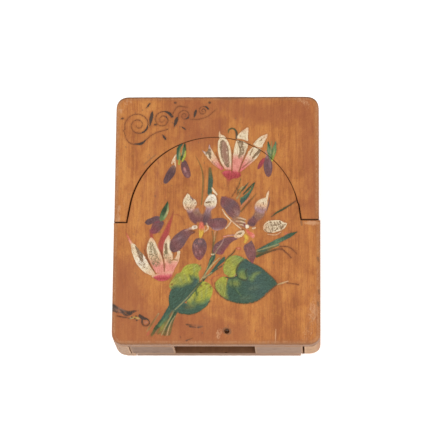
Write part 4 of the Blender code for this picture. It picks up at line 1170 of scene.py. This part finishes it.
woodMarks = {  # points, widths, strength and softness of each mark in the wood
    "blush": (  # reddish and darker clouds
        ([(-12.0, 43.0), (-4.0, 36.0), (-10.0, 30.0)], [16.0, 18.0, 10.0], 0.75, 8.0),
        ([(-23.0, 30.0), (-23.0, 22.0)], [5.0, 4.0], 0.4, 5.0),
        ([(-34.0, -20.0), (-30.0, -40.0), (-8.0, -42.0), (8.0, -42.0)], [12.0, 20.0, 14.0, 8.0], 1.0, 8.0),
        ([(32.0, 44.0), (34.0, 20.0), (35.0, 0.0)], [8.0, 8.0, 4.0], 0.8, 5.0),
        ([(-4.0, -36.5), (-1.0, -40.0)], [5.0, 4.0], 0.8, 3.0),
        ([(2.0, 44.0), (14.0, 40.0), (30.0, 40.0)], [9.0], 0.85, 6.0),
        ([(0.0, -34.0), (8.0, -36.0)], [6.0], 0.6, 5.0),
        ([(-30.0, 20.0), (-33.0, 0.0), (-33.0, -18.0)], [2.0, 2.5, 4.0], 0.4, 4.0),
        ([(12.0, -34.0), (20.0, -40.0)], [4.0, 6.0], 0.3, 4.0),
    ),
    "stain": (  # runs and streaks, most from the upper edge
        ([(2.0, 46.5), (1.0, 40.0), (0.8, 33.0)], [1.6, 1.3, 0.6], 1.0, 0.8),
        ([(4.6, 46.5), (3.4, 41.0), (2.6, 34.0)], [0.8, 0.7, 0.4], 0.7, 0.6),
        ([(9.8, 46.5), (9.5, 39.0), (9.2, 34.6)], [0.6, 0.7, 0.4], 0.8, 0.5),
        ([(-3.4, 40.0), (-3.8, 33.0)], [1.2, 0.8], 0.5, 1.0),
        ([(-6.6, 36.0), (-6.8, 30.6)], [0.8, 0.6], 0.5, 0.8),
        ([(-6.0, 30.0), (-4.8, 26.6)], [2.4, 1.6], 0.5, 1.2),
        ([(-21.8, 22.0), (-22.5, 2.0), (-24.4, -8.0)], [1.4, 1.6, 1.0], 0.8, 1.2),
        ([(16.0, 14.0), (15.4, 4.0)], [0.6, 0.5], 0.4, 0.8),
        ([(31.6, 30.0), (32.0, -30.0)], [0.5, 0.6], 0.5, 0.6),
        ([(-14.0, 34.0), (-13.0, 8.0)], [0.5], 0.4, 0.6),
        ([(-25.2, 24.0), (-27.4, 6.0), (-29.4, -6.0)], [0.7, 0.7, 0.5], 0.6, 0.6),
        ([(26.4, 3.0), (26.8, -14.0)], [0.8], 0.3, 1.0),
    ),
    "scuff": (  # worn to pale wood
        ([(-36.4, -1.0), (-35.6, 4.6)], [2.2, 1.2], 0.9, 1.2),
        ([(-37.0, 44.0), (-37.0, 10.0)], [0.6, 0.9], 0.4, 1.2),
        ([(32.0, -1.6), (36.8, -1.6)], [1.2, 1.8], 0.8, 1.0),
        ([(21.5, -40.8), (21.3, -45.8)], [0.35, 0.45], 1.0, 0.3),
        ([(34.6, -41.8), (32.6, -44.8)], [0.3], 0.8, 0.4),
        ([(1.4, -41.4), (0.8, -43.6)], [2.4, 1.8], 0.5, 0.8),
        ([(35.6, -28.0), (34.0, -37.0), (32.4, -44.0)], [1.2, 4.4, 3.0], 0.5, 2.2),
        ([(-12.0, -45.4), (0.0, -45.9), (14.0, -45.4)], [0.6, 1.0, 0.6], 0.3, 0.8),
        ([(34.0, 42.5), (30.0, 45.0)], [3.0, 2.5], 0.4, 2.5),
        ([(-35.5, 41.0), (-33.0, 44.5)], [2.5, 3.0], 0.5, 2.5),
    ),
    "dirtAndShade": (  # grime, and painted shade along the upper edge
        ([(36.4, -28.0), (36.0, -34.0), (33.0, -40.0)], [1.2, 1.8, 2.6], 0.42, 1.6),
        ([(-26.8, 20.4), (-22.8, 24.0)], [0.8], 0.7, 0.6),
        # painted shade: these two rows darken the upper edge, whose rounding turns away from the light
        ([(-36.0, 46.6), (0.0, 46.6), (36.0, 46.6)], [0.6, 1.1, 0.8], 0.62, 1.2),
        ([(-4.0, 46.4), (4.0, 46.0), (14.0, 46.4)], [0.6, 2.2, 0.8], 0.9, 1.2),
        ([(36.6, -14.5), (36.8, -15.7)], [1.0, 0.8], 0.8, 0.5),
        ([(36.9, -26.5), (37.1, -27.7)], [1.0, 0.8], 0.8, 0.5),
        ([(36.6, -31.0), (36.8, -32.2)], [1.0, 0.8], 0.8, 0.5),
        ([(30.6, -1.2), (30.8, -2.4)], [1.0, 0.8], 0.8, 0.5),
        ([(-37.4, -31.6), (-36.0, -33.2)], [2.0, 1.4], 0.6, 0.8),
        ([(-36.0, -46.2), (0.0, -46.0), (36.0, -46.2)], [2.4, 1.6, 2.4], 0.5, 1.6),
        ([(3.6, -41.3), (4.4, -41.6)], [2.6], 0.8, 0.4),
    ),
}


speckSetup = {"seed": 7, "specks": 150, "scratches": 26}


def markWood(art):
    for kind, rows in woodMarks.items():
        for points, widths, strength, soft in rows:
            art.mark(kind, points, widths, strength, soft)
    # small dents and specks of dirt, denser to the left and near the ends, and short pale scratches
    random = Random(speckSetup["seed"])
    for _ in range(speckSetup["specks"]):
        x, y = random.triangular(-37, 37, -30), random.choice((1, -1)) * random.triangular(0, 46, 38)
        size = random.uniform(0.25, 0.6)
        art.mark("dirtAndShade", [(x, y), (x + 0.1, y - size)], [size, size * 0.7], random.uniform(0.4, 0.9), 0.3)
    for _ in range(speckSetup["scratches"]):
        x, y = random.uniform(-36, 36), random.uniform(-45, 45)
        way = random.uniform(-2.0, 2.0)
        art.mark("scuff", [(x, y), (x + way, y + random.uniform(-3, 3))], [0.2, 0.3, 0.1], 0.5, 0.25)


# The two front boards

archCentre = (-1.155, -0.3125)  # of the arch, the tongue and the watch recess

frontSetup = {
    "gridStep": 0.252,
    "rowShare": 0.92,  # the grid's rows lie closer than its columns by this share
    "outlineStep": 0.25,
    "edgeTurns": (15, 30, 45, 60, 75, 90),  # where fine rings follow the rounded edge, in degrees
    "edgeSpan": 1.15,  # how far they reach in, as a share of the rounding
    "seamRings": (0.06, 0.15),
    "holeRing": 0.12,
    "edgeMargin": 0.1,  # how far the grid stays from the rings, the seam and the hole
    "seamMargin": 0.26,
    "holeMargin": 0.2,
    "seamReach": 1.2,  # an outline this near the other board's belongs to the seam
    "rounding": 1.0,  # radius of the worn outer edges
    "roundingWander": 0.3,
    "lowerEndRounding": 0.6,  # the lower end's edge is crisper than the others
    "lowerEndFade": (-45.0, -42.0),
    "seamRounding": 0.14,
    "unevenness": 0.035,
    "wallLevels": 6,
    "gapStops": (  # degrees round the arch from its right foot, and the gap of the seam there
        (-90, 0.34), (-2, 0.44), (7, 0.42), (14, 0.28), (22, 0.14), (62, 0.12), (100, 0.13), (112, 0.18),
        (124, 0.3), (150, 0.42), (176, 0.52), (182, 0.4), (270, 0.34),
    ),
    "gapWaver": 0.03,
    "widestGap": 0.8,  # where the boards lie further apart, the seam stays as it is
    "smoothing": 4,  # neighbours on each side that the seam's shift is averaged over
    "kink": (25.0, 6.1, 0.3),  # X and Y where the seam's right foot steps sideways, and how far
    "wallWaver": 0.03,
    "lowerChamfer": 0.12,
    "glueReach": {"arch_panel": 0.24, "cover_panel": 0.0},  # the glued board goes down to its block
}

sharpAngle = 50.0  # edges that turn by more stay sharp


def makePiece(data, material):  # a piece of the mesh's name, smooth but for its sharp edges
    data.materials.append(material)
    data.shade_smooth()
    data.set_sharp_from_angle(angle=math.radians(sharpAngle))
    piece = bpy.data.objects.new(data.name, data)
    bpy.context.scene.collection.objects.link(piece)
    return piece


def storeLayer(data, label, values):  # four columns are a colour at each point, and three a vector
    kind, field = ("FLOAT_COLOR", "color") if values.shape[1] == 4 else ("FLOAT_VECTOR", "vector")
    data.attributes.new(label, kind, "POINT").data.foreach_set(field, values.ravel())


def quarterRound(gap, radius):  # how far a rounded edge has dropped at that distance from the side
    lack = np.clip(radius - gap, 0, None)
    return radius - np.sqrt(np.clip(radius**2 - lack**2, 0, None))


def everyPoint(outline):
    return np.ones(len(outline), bool)


def loosenSeam(outer, gaps, isSeam, setup):  # moves the seam to the gap that the photo shows
    fromCentre = outer - np.array(archCentre)
    angle = np.degrees(np.arctan2(fromCentre[:, 1], fromCentre[:, 0]))
    angle = np.where(angle < -90, angle + 360, angle)
    stops = np.array(setup["gapStops"])
    wanted = np.interp(angle, stops[:, 0], stops[:, 1]) + setup["gapWaver"] * wander(outer, 0.6, 4.0)
    shift = np.where(isSeam & (gaps < setup["widestGap"]), (gaps - wanted) / 2, 0)
    side = setup["smoothing"]
    kernel = np.ones(2 * side + 1) / (2 * side + 1)
    shift = np.convolve(np.concatenate([shift[-side:], shift, shift[:side]]), kernel, "valid")
    outer = outer + outward(outer) * shift[:, None]
    start, height, reach = setup["kink"]
    share = np.clip((height - outer[:, 1]) / 0.5, 0, 1) * np.clip(outer[:, 1] / height, 0, 1)
    outer[:, 0] += reach * share * (isSeam & (outer[:, 0] > start))
    return outer


def shapeFront(name, otherName, setup):
    outlines = [evenOutline(walk, setup["outlineStep"]) for walk in lowerOutlines(name)]
    otherTree = treeOf(evenOutline(lowerOutlines(otherName)[0], 0.1))
    gaps = gapTo(otherTree, outlines[0])
    isSeam = gaps < setup["seamReach"]
    outer = outlines[0] = loosenSeam(outlines[0], gaps, isSeam, setup)
    low, high = (v * 1000 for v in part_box(name))
    top, bottom = high.z, low.z - setup["glueReach"][name]
    print(name, "outline points", len(outer), "seam points", int(isSeam.sum()))

    # boundary, rings that follow the rounded edge, and an even grid
    edgeWidth = setup["rounding"] * setup["edgeSpan"]
    boundary = np.vstack(outlines)
    normals = outward(outer)
    rings = []
    for turn in setup["edgeTurns"]:
        depth = edgeWidth * (1 - math.cos(math.radians(turn)))
        ring = (outer - normals * depth)[~isSeam]
        rings.append(ring[gapToOutline(outer, everyPoint(outer), ring) > depth * 0.93 - 0.004])
    for depth in setup["seamRings"]:
        ring = (outer - normals * depth)[isSeam]
        rings.append(ring[gapToOutline(outer, everyPoint(outer), ring) > depth * 0.93])
    for hole in outlines[1:]:
        rings.append(hole - outward(hole) * setup["holeRing"])
    step = setup["gridStep"]
    columns = np.arange(low.x, high.x, step)
    rows = np.arange(low.y, high.y, step * setup["rowShare"])
    grid = np.array([(x + (k % 2) * step / 2, y) for k, y in enumerate(rows) for x in columns])
    keep = gapToOutline(outer, ~isSeam, grid) > edgeWidth + setup["edgeMargin"]
    keep &= gapToOutline(outer, isSeam, grid) > setup["seamMargin"]
    for hole in outlines[1:]:
        keep &= gapToOutline(hole, everyPoint(hole), grid) > setup["holeMargin"]
    points = np.vstack([boundary] + rings + [grid[keep]])
    filled = fillOutlines(outlines, points)
    places = np.array([tuple(v) for v in filled[0]])
    faces = openHoles(places, np.array(filled[2]), outlines[1:])
    used = np.unique(faces)
    renumber = np.full(len(places), -1)
    renumber[used] = np.arange(len(used))
    faces = renumber[faces]
    boundaryIndex = np.full(len(boundary), -1)
    for k, sources in enumerate(filled[3]):
        for source in sources:
            if source < len(boundary):
                boundaryIndex[source] = renumber[k]
    places = places[used]
    a, b, c = places[faces[:, 0]], places[faces[:, 1]], places[faces[:, 2]]
    area = (b - a)[:, 0] * (c - a)[:, 1] - (b - a)[:, 1] * (c - a)[:, 0]
    faces[area < 0] = faces[area < 0][:, ::-1]
    return places, faces, outlines, isSeam, boundaryIndex, top, bottom


def closeBelow(rings):  # faces that fill the lower outline, as indexes into the rings' points
    points = np.vstack(rings)
    filled = fillOutlines(rings, points)
    sources = [s[0] for s in filled[3]]
    faces = np.array([[sources[k] for k in f] for f in filled[2]])
    corner = points[faces]
    turn = np.cross(corner[:, 1] - corner[:, 0], corner[:, 2] - corner[:, 0])
    faces[turn > 0] = faces[turn > 0][:, ::-1]
    return openHoles(points, faces, rings[1:])


def buildFront(name, otherName, material, setup):
    places, faces, outlines, isSeam, boundaryIndex, top, bottom = shapeFront(name, otherName, setup)
    outer = outlines[0]
    gapSide = gapToOutline(outer, ~isSeam, places)
    gapSeam = gapToOutline(outer, isSeam, places)
    for hole in outlines[1:]:
        gapSeam = np.minimum(gapSeam, gapToOutline(hole, everyPoint(hole), places))
    radius = setup["rounding"] * (1 + setup["roundingWander"] * (
        0.6 * wander(places, 0.12, 1.0) + 0.4 * wander(places, 0.5, 2.0)))
    radius *= np.interp(places[:, 1], setup["lowerEndFade"], (setup["lowerEndRounding"], 1.0))
    seamRadius = setup["seamRounding"] * (1 + 0.5 * wander(places, 0.4, 3.0))
    drop = np.maximum(quarterRound(gapSide, radius), quarterRound(gapSeam, seamRadius))
    heights = top - drop + setup["unevenness"] * (wander(places, 0.06, 5.0) - 1)
    verts = [np.column_stack([places, heights])]
    walls, lastRings, lastIndex = [], [], []
    start, count = 0, len(places)
    for loop in outlines:
        previous = boundaryIndex[start:start + len(loop)]
        start += len(loop)
        normals, upper = outward(loop), heights[previous]
        for level in range(1, setup["wallLevels"] + 1):
            share = level / setup["wallLevels"]
            chamfer = setup["lowerChamfer"] if level == setup["wallLevels"] else 0.0
            inward = chamfer + setup["wallWaver"] * wander(loop, 0.35, 6.0 + 0.4 * level)
            place = loop - normals * inward[:, None]
            verts.append(np.column_stack([place, upper + (bottom - upper) * share]))
            fresh = count + np.arange(len(loop))
            count += len(loop)
            walls.append(np.column_stack([fresh, np.roll(fresh, -1), np.roll(previous, -1), previous]))
            previous = fresh
        lastRings.append(place)
        lastIndex.append(previous)
    lower = np.concatenate(lastIndex)[closeBelow(lastRings)]
    allVerts = np.vstack(verts) * mm
    allFaces = faces.tolist() + [f for wall in walls for f in wall.tolist()] + lower.tolist()
    data = bpy.data.meshes.new(name + "Painted")
    data.from_pydata(allVerts.tolist(), [], allFaces)
    piece = makePiece(data, material)

    # paint and marks are worked out at every point of the upper surface
    art = Painting(places)
    for paint in (markWood, paintFlourish, paintCyclamenAbove, paintCyclamenBelow, paintStems, paintLeaves,
                  paintVioletLeft, paintVioletRight, paintBuds):
        paint(art)
    total, onTop = len(allVerts), len(places)
    fromTop = top - setup["rounding"] - allVerts[onTop:, 2] / mm
    sideEdge = np.concatenate([np.clip(gapSide - setup["rounding"], 0, 9), np.clip(fromTop, 0, 9)])

    def spread(values, filling):  # the upper surface's values, and a filling for the other points
        full = np.full((total,) + values.shape[1:], filling, float)
        full[:onTop] = values
        return full

    marks = {label: spread(values, 0.0) for label, values in art.marks.items()}
    layers = {
        "paintColour": np.column_stack([linear(spread(art.colour, 120.0)), np.ones(total)]),
        "paintUnder": np.column_stack([
            linear(spread(art.under[:, :3], 120.0)), spread(art.under[:, 3], 0.0)]),
        "paintShape": np.column_stack([
            spread(art.edge, -9.0), spread(art.body, 0.0), spread(art.wear, 0.0)]),
        "brushPlace": spread(art.brush, 0.0),
        "edgeGap": np.column_stack([sideEdge, spread(np.clip(gapSeam, 0, 9), 9.0), marks["stain"]]),
        "woodMarks": np.column_stack([marks["scuff"], marks["dirtAndShade"], marks["blush"]]),
    }
    for label, values in layers.items():
        storeLayer(data, label, values)
    print(name, "vertices", total, "faces", len(allFaces), "strokes", art.laid)
    return piece


# Woods

woodSetup = {
    "front": {
        "dark": (157, 90, 43), "middle": (185, 114, 56), "light": (204, 136, 69),
        "worn": (204, 154, 114), "grime": (106, 66, 40), "end": (130, 84, 54), "endPale": (150, 107, 74),
        "blush": (156, 86, 52), "gold": (200, 134, 62), "brown": (152, 98, 60),
        # the upper end's tone is a painted shade
        "stain": (154, 88, 60), "side": (146, 94, 58), "upperEndShade": (112, 72, 44), "dirtAndShade": (112, 80, 58),
        "seam": (116, 62, 32), "underPaint": (136, 78, 42),
        "grit": (233, 228, 221), "brushStreak": (216, 206, 200),  # these darken what they lie on
    },
    "rail": {
        "dark": (152, 102, 66), "middle": (180, 126, 84), "light": (200, 148, 104),
        "worn": (206, 168, 136), "grime": (100, 76, 58), "end": (195, 153, 119),
        "endRight": (188, 143, 102),
    },
    "block": {
        "dark": (138, 88, 54), "middle": (164, 110, 72), "light": (182, 130, 92),
        "worn": (184, 146, 116), "grime": (88, 62, 46), "end": (146, 110, 84),
        "endRight": (152, 118, 94),
    },
    "back": {
        "dark": (140, 94, 60), "middle": (172, 122, 82), "light": (192, 142, 100),
        "worn": (190, 152, 122), "grime": (94, 72, 56), "end": (158, 118, 88),
        "endRight": (156, 116, 90),
    },
}


plain = (1.0, 1.0, 1.0, 1.0)  # multiplied in, it changes nothing


def grainTones(place, tones):
    # colour of sawn wood with its grain along Y, and a height for its pores and fibres
    bands = speckle(place, (0.11, 0.006, 0.11), detail=3, roughness=0.55, distortion=0.5)
    rings = speckle(place, (0.9, 0.018, 0.9), detail=3, roughness=0.6, distortion=0.3, shift=(7, 3, 1))
    fibres = speckle(place, (5.5, 0.16, 5.5), detail=3, roughness=0.6, shift=(2, 9, 4))
    clouds = speckle(place, (0.16, 0.1, 0.16), detail=4, roughness=0.6, distortion=0.6, shift=(5, 1, 8))
    pores = speckle(place, (4.2, 0.75, 4.2), detail=2, roughness=0.65, shift=(1, 6, 2))
    threads = speckle(place, (1.7, 0.02, 1.7), detail=1, roughness=0.5, shift=(4, 4, 2))
    tone = bands * 0.25 + rings * 0.22 + fibres * 0.28 + clouds * 0.37
    stops = [(0.46, rgba(tones["dark"])), (0.56, rgba(tones["middle"])), (0.66, rgba(tones["light"]))]
    colour = place.node("ShaderNodeValToRGB", {"stops": stops}, {"Fac": tone})
    colour = mixed(place, steps(threads, 0.6, 0.68) * 0.22, colour, rgba(tones["dark"]))
    pits = steps(pores, 0.6, 0.72)
    colour = mixed(place, pits * 0.42, colour, rgba(tones["grime"]))
    height = fibres * 0.6 - pits * 0.5 + rings * 0.3
    return colour, height


def paintedWood(tones):
    material, shader, place = startMaterial("paintedFrontWood")
    _, edge, body, wear = attribute(place, "paintShape")
    brush = attribute(place, "brushPlace")[0]
    _, sideGap, seamGap, stain = attribute(place, "edgeGap")
    _, scuff, dirtAndShade, blush = attribute(place, "woodMarks")
    pigment = place.node("ShaderNodeAttribute", {"attribute_name": "paintColour"}, {}, out="Color")
    under = place.node("ShaderNodeAttribute", {"attribute_name": "paintUnder"}, {}, out="Color")

    colour, height = grainTones(place, tones)
    blotch = speckle(place, (0.35, 0.22, 0.35), detail=4, roughness=0.65, shift=(3, 3, 3))
    mottle = speckle(place, (0.62, 0.42, 0.62), detail=4, roughness=0.7, distortion=0.4, shift=(6, 6, 3))
    fine = speckle(place, (2.2, 1.4, 2.2), detail=3, roughness=0.7, shift=(8, 2, 5))
    grit = speckle(place, (6.0, 6.0, 6.0), detail=2, roughness=0.6, shift=(4, 4, 9))
    # the wood is mottled, redder in broad zones, and stained down from the upper edge
    colour = mixed(place, steps(mottle, 0.5, 0.68) * 0.3, colour, rgba(tones["blush"]))
    colour = mixed(place, (1 - steps(mottle, 0.34, 0.5)) * 0.28, colour, rgba(tones["gold"]))
    blushed = steps(blush + (blotch - 0.5) * 1.2, 0.1, 0.9)
    colour = mixed(place, blushed * 0.62, colour, rgba(tones["blush"]))
    colour = mixed(place, stain * steps(blotch, 0.3, 0.65) * 0.7, colour, rgba(tones["stain"]))
    colour = mixed(place, steps(fine, 0.63, 0.73) * 0.5, colour, rgba(tones["grime"]))
    grain = mixed(place, steps(grit, 0.36, 0.62), rgba(tones["grit"]), plain)
    colour = mixed(place, 1.0, colour, grain, "MULTIPLY")
    # worn and scuffed places show pale wood
    rubbed = steps(fine * 0.5 + blotch * 0.5 + scuff * 0.34, 0.6, 0.78) * steps(scuff, 0.02, 0.3)
    colour = mixed(place, rubbed * 0.7, colour, rgba(tones["worn"]))
    # edges and sides are browner, with a few pale rubs
    across, endward, _ = facing(place)
    nearEdge = 1 - steps(sideGap, 0.0, 1.1)
    colour = mixed(place, nearEdge * 0.4, colour, rgba(tones["brown"]))
    edgeWorn = steps(nearEdge * 0.3 + fine * 0.55 + blotch * 0.35, 0.66, 0.86)
    colour = mixed(place, edgeWorn * nearEdge * 0.4, colour, rgba(tones["worn"]))
    colour = mixed(place, steps(across * across, 0.1, 0.7) * 0.5, colour, rgba(tones["side"]))
    # painted shade: faces turned towards the upper end are darkened as if turned away from the light
    colour = mixed(place, steps(endward, 0.05, 0.6) * 0.9, colour, rgba(tones["upperEndShade"]))
    endTone = mixed(place, steps(fine, 0.42, 0.66), rgba(tones["endPale"]), rgba(tones["end"]))
    colour = mixed(place, steps(0 - endward, 0.2, 0.7) * 0.85, colour, endTone)
    # dirt specks and grime darken the wood, with painted shade along the upper edge
    colour = mixed(place, steps(dirtAndShade + fine * 0.5, 0.55, 1.0) * 0.6, colour, rgba(tones["dirtAndShade"]))
    # grime lies along the seams
    seam = 1 - steps(seamGap + fine * 0.25, 0.14, 0.42)
    colour = mixed(place, seam * 0.55, colour, rgba(tones["seam"]))

    # paint with streaks along each stroke, ragged edges, and worn places where older tones remain
    streaks = speckle(brush, (0.5, 4.2, 1.0), detail=2, roughness=0.6)
    dabs = speckle(brush, (1.9, 2.8, 1.0), detail=3, roughness=0.75, distortion=0.5, shift=(3, 3, 3))
    shade = mixed(place, steps(streaks, 0.32, 0.66), rgba(tones["brushStreak"]), plain)
    paint = mixed(place, 1.0, pigment, shade, "MULTIPLY")
    paint = mixed(place, steps(dabs, 0.48, 0.7) * 0.6, paint, pigment, "SCREEN")
    paint = mixed(place, steps(fine, 0.52, 0.7) * 0.5, paint, paint, "MULTIPLY")
    lost = steps(fine * 0.5 + grit * 0.5 + wear * 0.44, 0.7, 0.74)
    ragged = edge + (fine - 0.5) * 0.55 + (grit - 0.5) * 0.5
    around = steps(ragged, -0.6, -0.12)
    halo = around * (1 - lost) * 0.32 * steps(body, 0.0, 0.9)
    colour = mixed(place, halo, colour, rgba(tones["underPaint"]))
    painted = steps(ragged, -0.07, 0.1)
    colour = mixed(place, painted * lost * under.other("Alpha"), colour, under)
    cover = painted * steps(body, 0.02, 1.0) * (1 - lost)
    colour = mixed(place, cover, colour, paint)
    plug(shader, colour, "Base Color")

    rough = 0.48 + edgeWorn * 0.2 + rubbed * 0.2 + cover * 0.08 + (blotch - 0.5) * 0.2
    plug(shader, rough, "Roughness")
    shader.inputs["Specular IOR Level"].default_value = 0.22
    surface = height * 0.25 + cover * 0.5 + cover * streaks * 0.25 - rubbed * 0.2 + blotch * 0.3
    plugBump(shader, surface, 0.35, 0.0001)
    return material


recessAgedShade = (96, 60, 36)  # painted shade in the recess and its channel, with an aged, darker tone of the wood


def bareWood(name, tones, seed):
    material, shader, inPlace = startMaterial(name)
    place = inPlace.node("ShaderNodeVectorMath", {"operation": "ADD"}, {0: inPlace, 1: (seed, seed * 2, 0)})
    _, edgeGap, _, recessShadeMask = attribute(place, "edgeGap")
    colour, height = grainTones(place, tones)
    endward = facing(place)[1]
    ends = steps(endward * endward, 0.36, 0.64)
    right = place.node("ShaderNodeSeparateXYZ", {}, {0: inPlace})
    pores = speckle(place, (3.2, 1.0, 3.2), detail=3, roughness=0.65, shift=(2, 2, 7))
    lines = speckle(place, (0.25, 0.3, 2.4), detail=3, roughness=0.6, distortion=0.6, shift=(6, 1, 1))
    endColour = mixed(place, steps(lines, 0.35, 0.7) * 0.6 + steps(pores, 0.4, 0.7) * 0.35,
                      rgba(tones["grime"]), rgba(tones["end"]))
    endColour = mixed(place, 0.42, endColour, rgba(tones["end"]))
    endColour = mixed(place, steps(right, -8.0, 26.0) * 0.8, endColour, rgba(tones["endRight"]))
    colour = mixed(place, ends, colour, endColour)
    blotch = speckle(place, (0.3, 0.16, 0.3), detail=4, roughness=0.65, shift=(9, 3, 3))
    fine = speckle(place, (2.0, 1.4, 2.0), detail=3, roughness=0.7, shift=(8, 5, 5))
    colour = mixed(place, steps(blotch, 0.5, 0.75) * 0.4, colour, rgba(tones["grime"]))
    colour = mixed(place, steps(fine, 0.68, 0.74) * 0.5, colour, rgba(tones["grime"]))
    nearEdge = 1 - steps(edgeGap, 0.1, 1.3)
    worn = steps(nearEdge * 0.6 + fine * 0.4 + blotch * 0.25, 0.55, 0.85)
    colour = mixed(place, worn * 0.6, colour, rgba(tones["worn"]))
    # painted shade: the recess and its channel are darkened where little light falls, with an aged tone
    colour = mixed(place, recessShadeMask * 0.8, colour, rgba(recessAgedShade))
    plug(shader, colour, "Base Color")
    rough = 0.6 + worn * 0.12 + (blotch - 0.5) * 0.2
    plug(shader, rough, "Roughness")
    shader.inputs["Specular IOR Level"].default_value = 0.25
    plugBump(shader, height * 0.4 + blotch * 0.4 + pores * ends * 0.5, 0.4, 0.0001)
    return material


# The boards behind the front

boardSetup = {  # levels: where the CAD's faces are moved to, so that the glue lines show fine
    "back_board": {
        "material": "back", "slot": "back_wood", "body": "case", "levels": {4.35: 4.5}, "seed": 3.0,
    },
    "watch_block": {
        "material": "block", "slot": "block_wood", "body": "case", "levels": {4.65: 4.58, 17.45: 17.48},
        "seed": 11.0,
    },
    "left_rail": {
        "material": "rail", "slot": "rail_wood", "body": "cover", "levels": {17.45: 17.68}, "seed": 19.0,
    },
    "right_rail": {
        "material": "rail", "slot": "rail_wood", "body": "cover", "levels": {17.45: 17.68}, "seed": 31.0,
    },
}
refineSetup = {
    "bevel": 0.22, "segments": 3, "roundness": 0.55, "longest": 1.5, "rounds": 8, "sharp": 30.0,
    "chipping": 0.05, "chipReach": 1.2, "edgeSampling": 0.4,
}
recessSetup = {"radius": 25.5, "channel": (-15.3, 13.8), "lowerEnd": -45.9, "backTop": 4.4}


def isInner(name, place):  # inside the watch recess or the channel that leads out of it
    if name == "back_board":
        return place.z > recessSetup["backTop"]
    left, right = recessSetup["channel"]
    x, y = place.x - archCentre[0], place.y - archCentre[1]
    inRecess = math.hypot(x, y) < recessSetup["radius"] + 0.4
    inChannel = left - 0.1 < place.x < right + 0.1 and recessSetup["lowerEnd"] < place.y < 0
    return name == "watch_block" and (inRecess or inChannel)


def buildBoard(name, setup, material):
    refine = refineSetup
    board = readBoard(name)
    for vert in board.verts:
        for level, goal in setup["levels"].items():
            if abs(vert.co.z - level) < 0.01:
                vert.co.z = goal
    bmesh.ops.dissolve_limit(board, angle_limit=math.radians(0.5), verts=board.verts, edges=board.edges)
    sharp = [e for e in board.edges if e.calc_face_angle_signed(0.0) > math.radians(refine["sharp"])]
    samples = []
    for edge in sharp:
        start, end = (v.co for v in edge.verts)
        count = max(2, math.ceil(edge.calc_length() / refine["edgeSampling"]))
        samples += [tuple(start.lerp(end, k / count)) for k in range(count + 1)]
    tree = treeOf(samples)
    bmesh.ops.bevel(board, geom=sharp, offset=refine["bevel"], segments=refine["segments"],
                    profile=refine["roundness"], affect="EDGES", clamp_overlap=True)
    bmesh.ops.triangulate(board, faces=board.faces)
    for _ in range(refine["rounds"]):
        long = [e for e in board.edges if e.calc_length() > refine["longest"]]
        if not long:
            break
        bmesh.ops.subdivide_edges(board, edges=long, cuts=1)
        bmesh.ops.triangulate(board, faces=[f for f in board.faces if len(f.verts) > 3])
    board.normal_update()
    reach = refine["chipReach"]
    for vert in board.verts:
        gap = tree.find(vert.co)[2]
        if gap < reach:
            wobble = noise.noise(Vector(vert.co) * 0.5 + Vector((setup["seed"], 0, 0)))
            vert.co -= vert.normal * refine["chipping"] * (1 - gap / reach) * (0.5 + wobble)
    bmesh.ops.scale(board, vec=(mm, mm, mm), verts=board.verts)
    data = bpy.data.meshes.new(name + "Worn")
    board.to_mesh(data)
    board.free()
    piece = makePiece(data, material)
    gaps = [tree.find(v.co / mm)[2] for v in data.vertices]
    # marks the recess and its channel for painted shade
    recessShadeMask = [float(isInner(name, v.co / mm)) for v in data.vertices]
    storeLayer(data, "edgeGap", np.column_stack([gaps, np.full(len(gaps), 9.0), recessShadeMask]))
    print(name, "faces", len(data.polygons))
    return piece


frontMaterial = paintedWood(woodSetup["front"])
for panel, other, body in (("arch_panel", "cover_panel", "case"), ("cover_panel", "arch_panel", "cover")):
    panelPiece = buildFront(panel, other, frontMaterial, frontSetup)
    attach(panelPiece, body)
    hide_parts(panel)

boardMaterials = {}
for board, boardWork in boardSetup.items():
    kind = boardWork["material"]
    if kind not in boardMaterials:
        boardMaterials[kind] = bareWood(kind + "Wood", woodSetup[kind], boardWork["seed"])
    boardPiece = buildBoard(board, boardWork, boardMaterials[kind])
    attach(boardPiece, boardWork["body"])
    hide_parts(board)
print("all six boards are dressed")
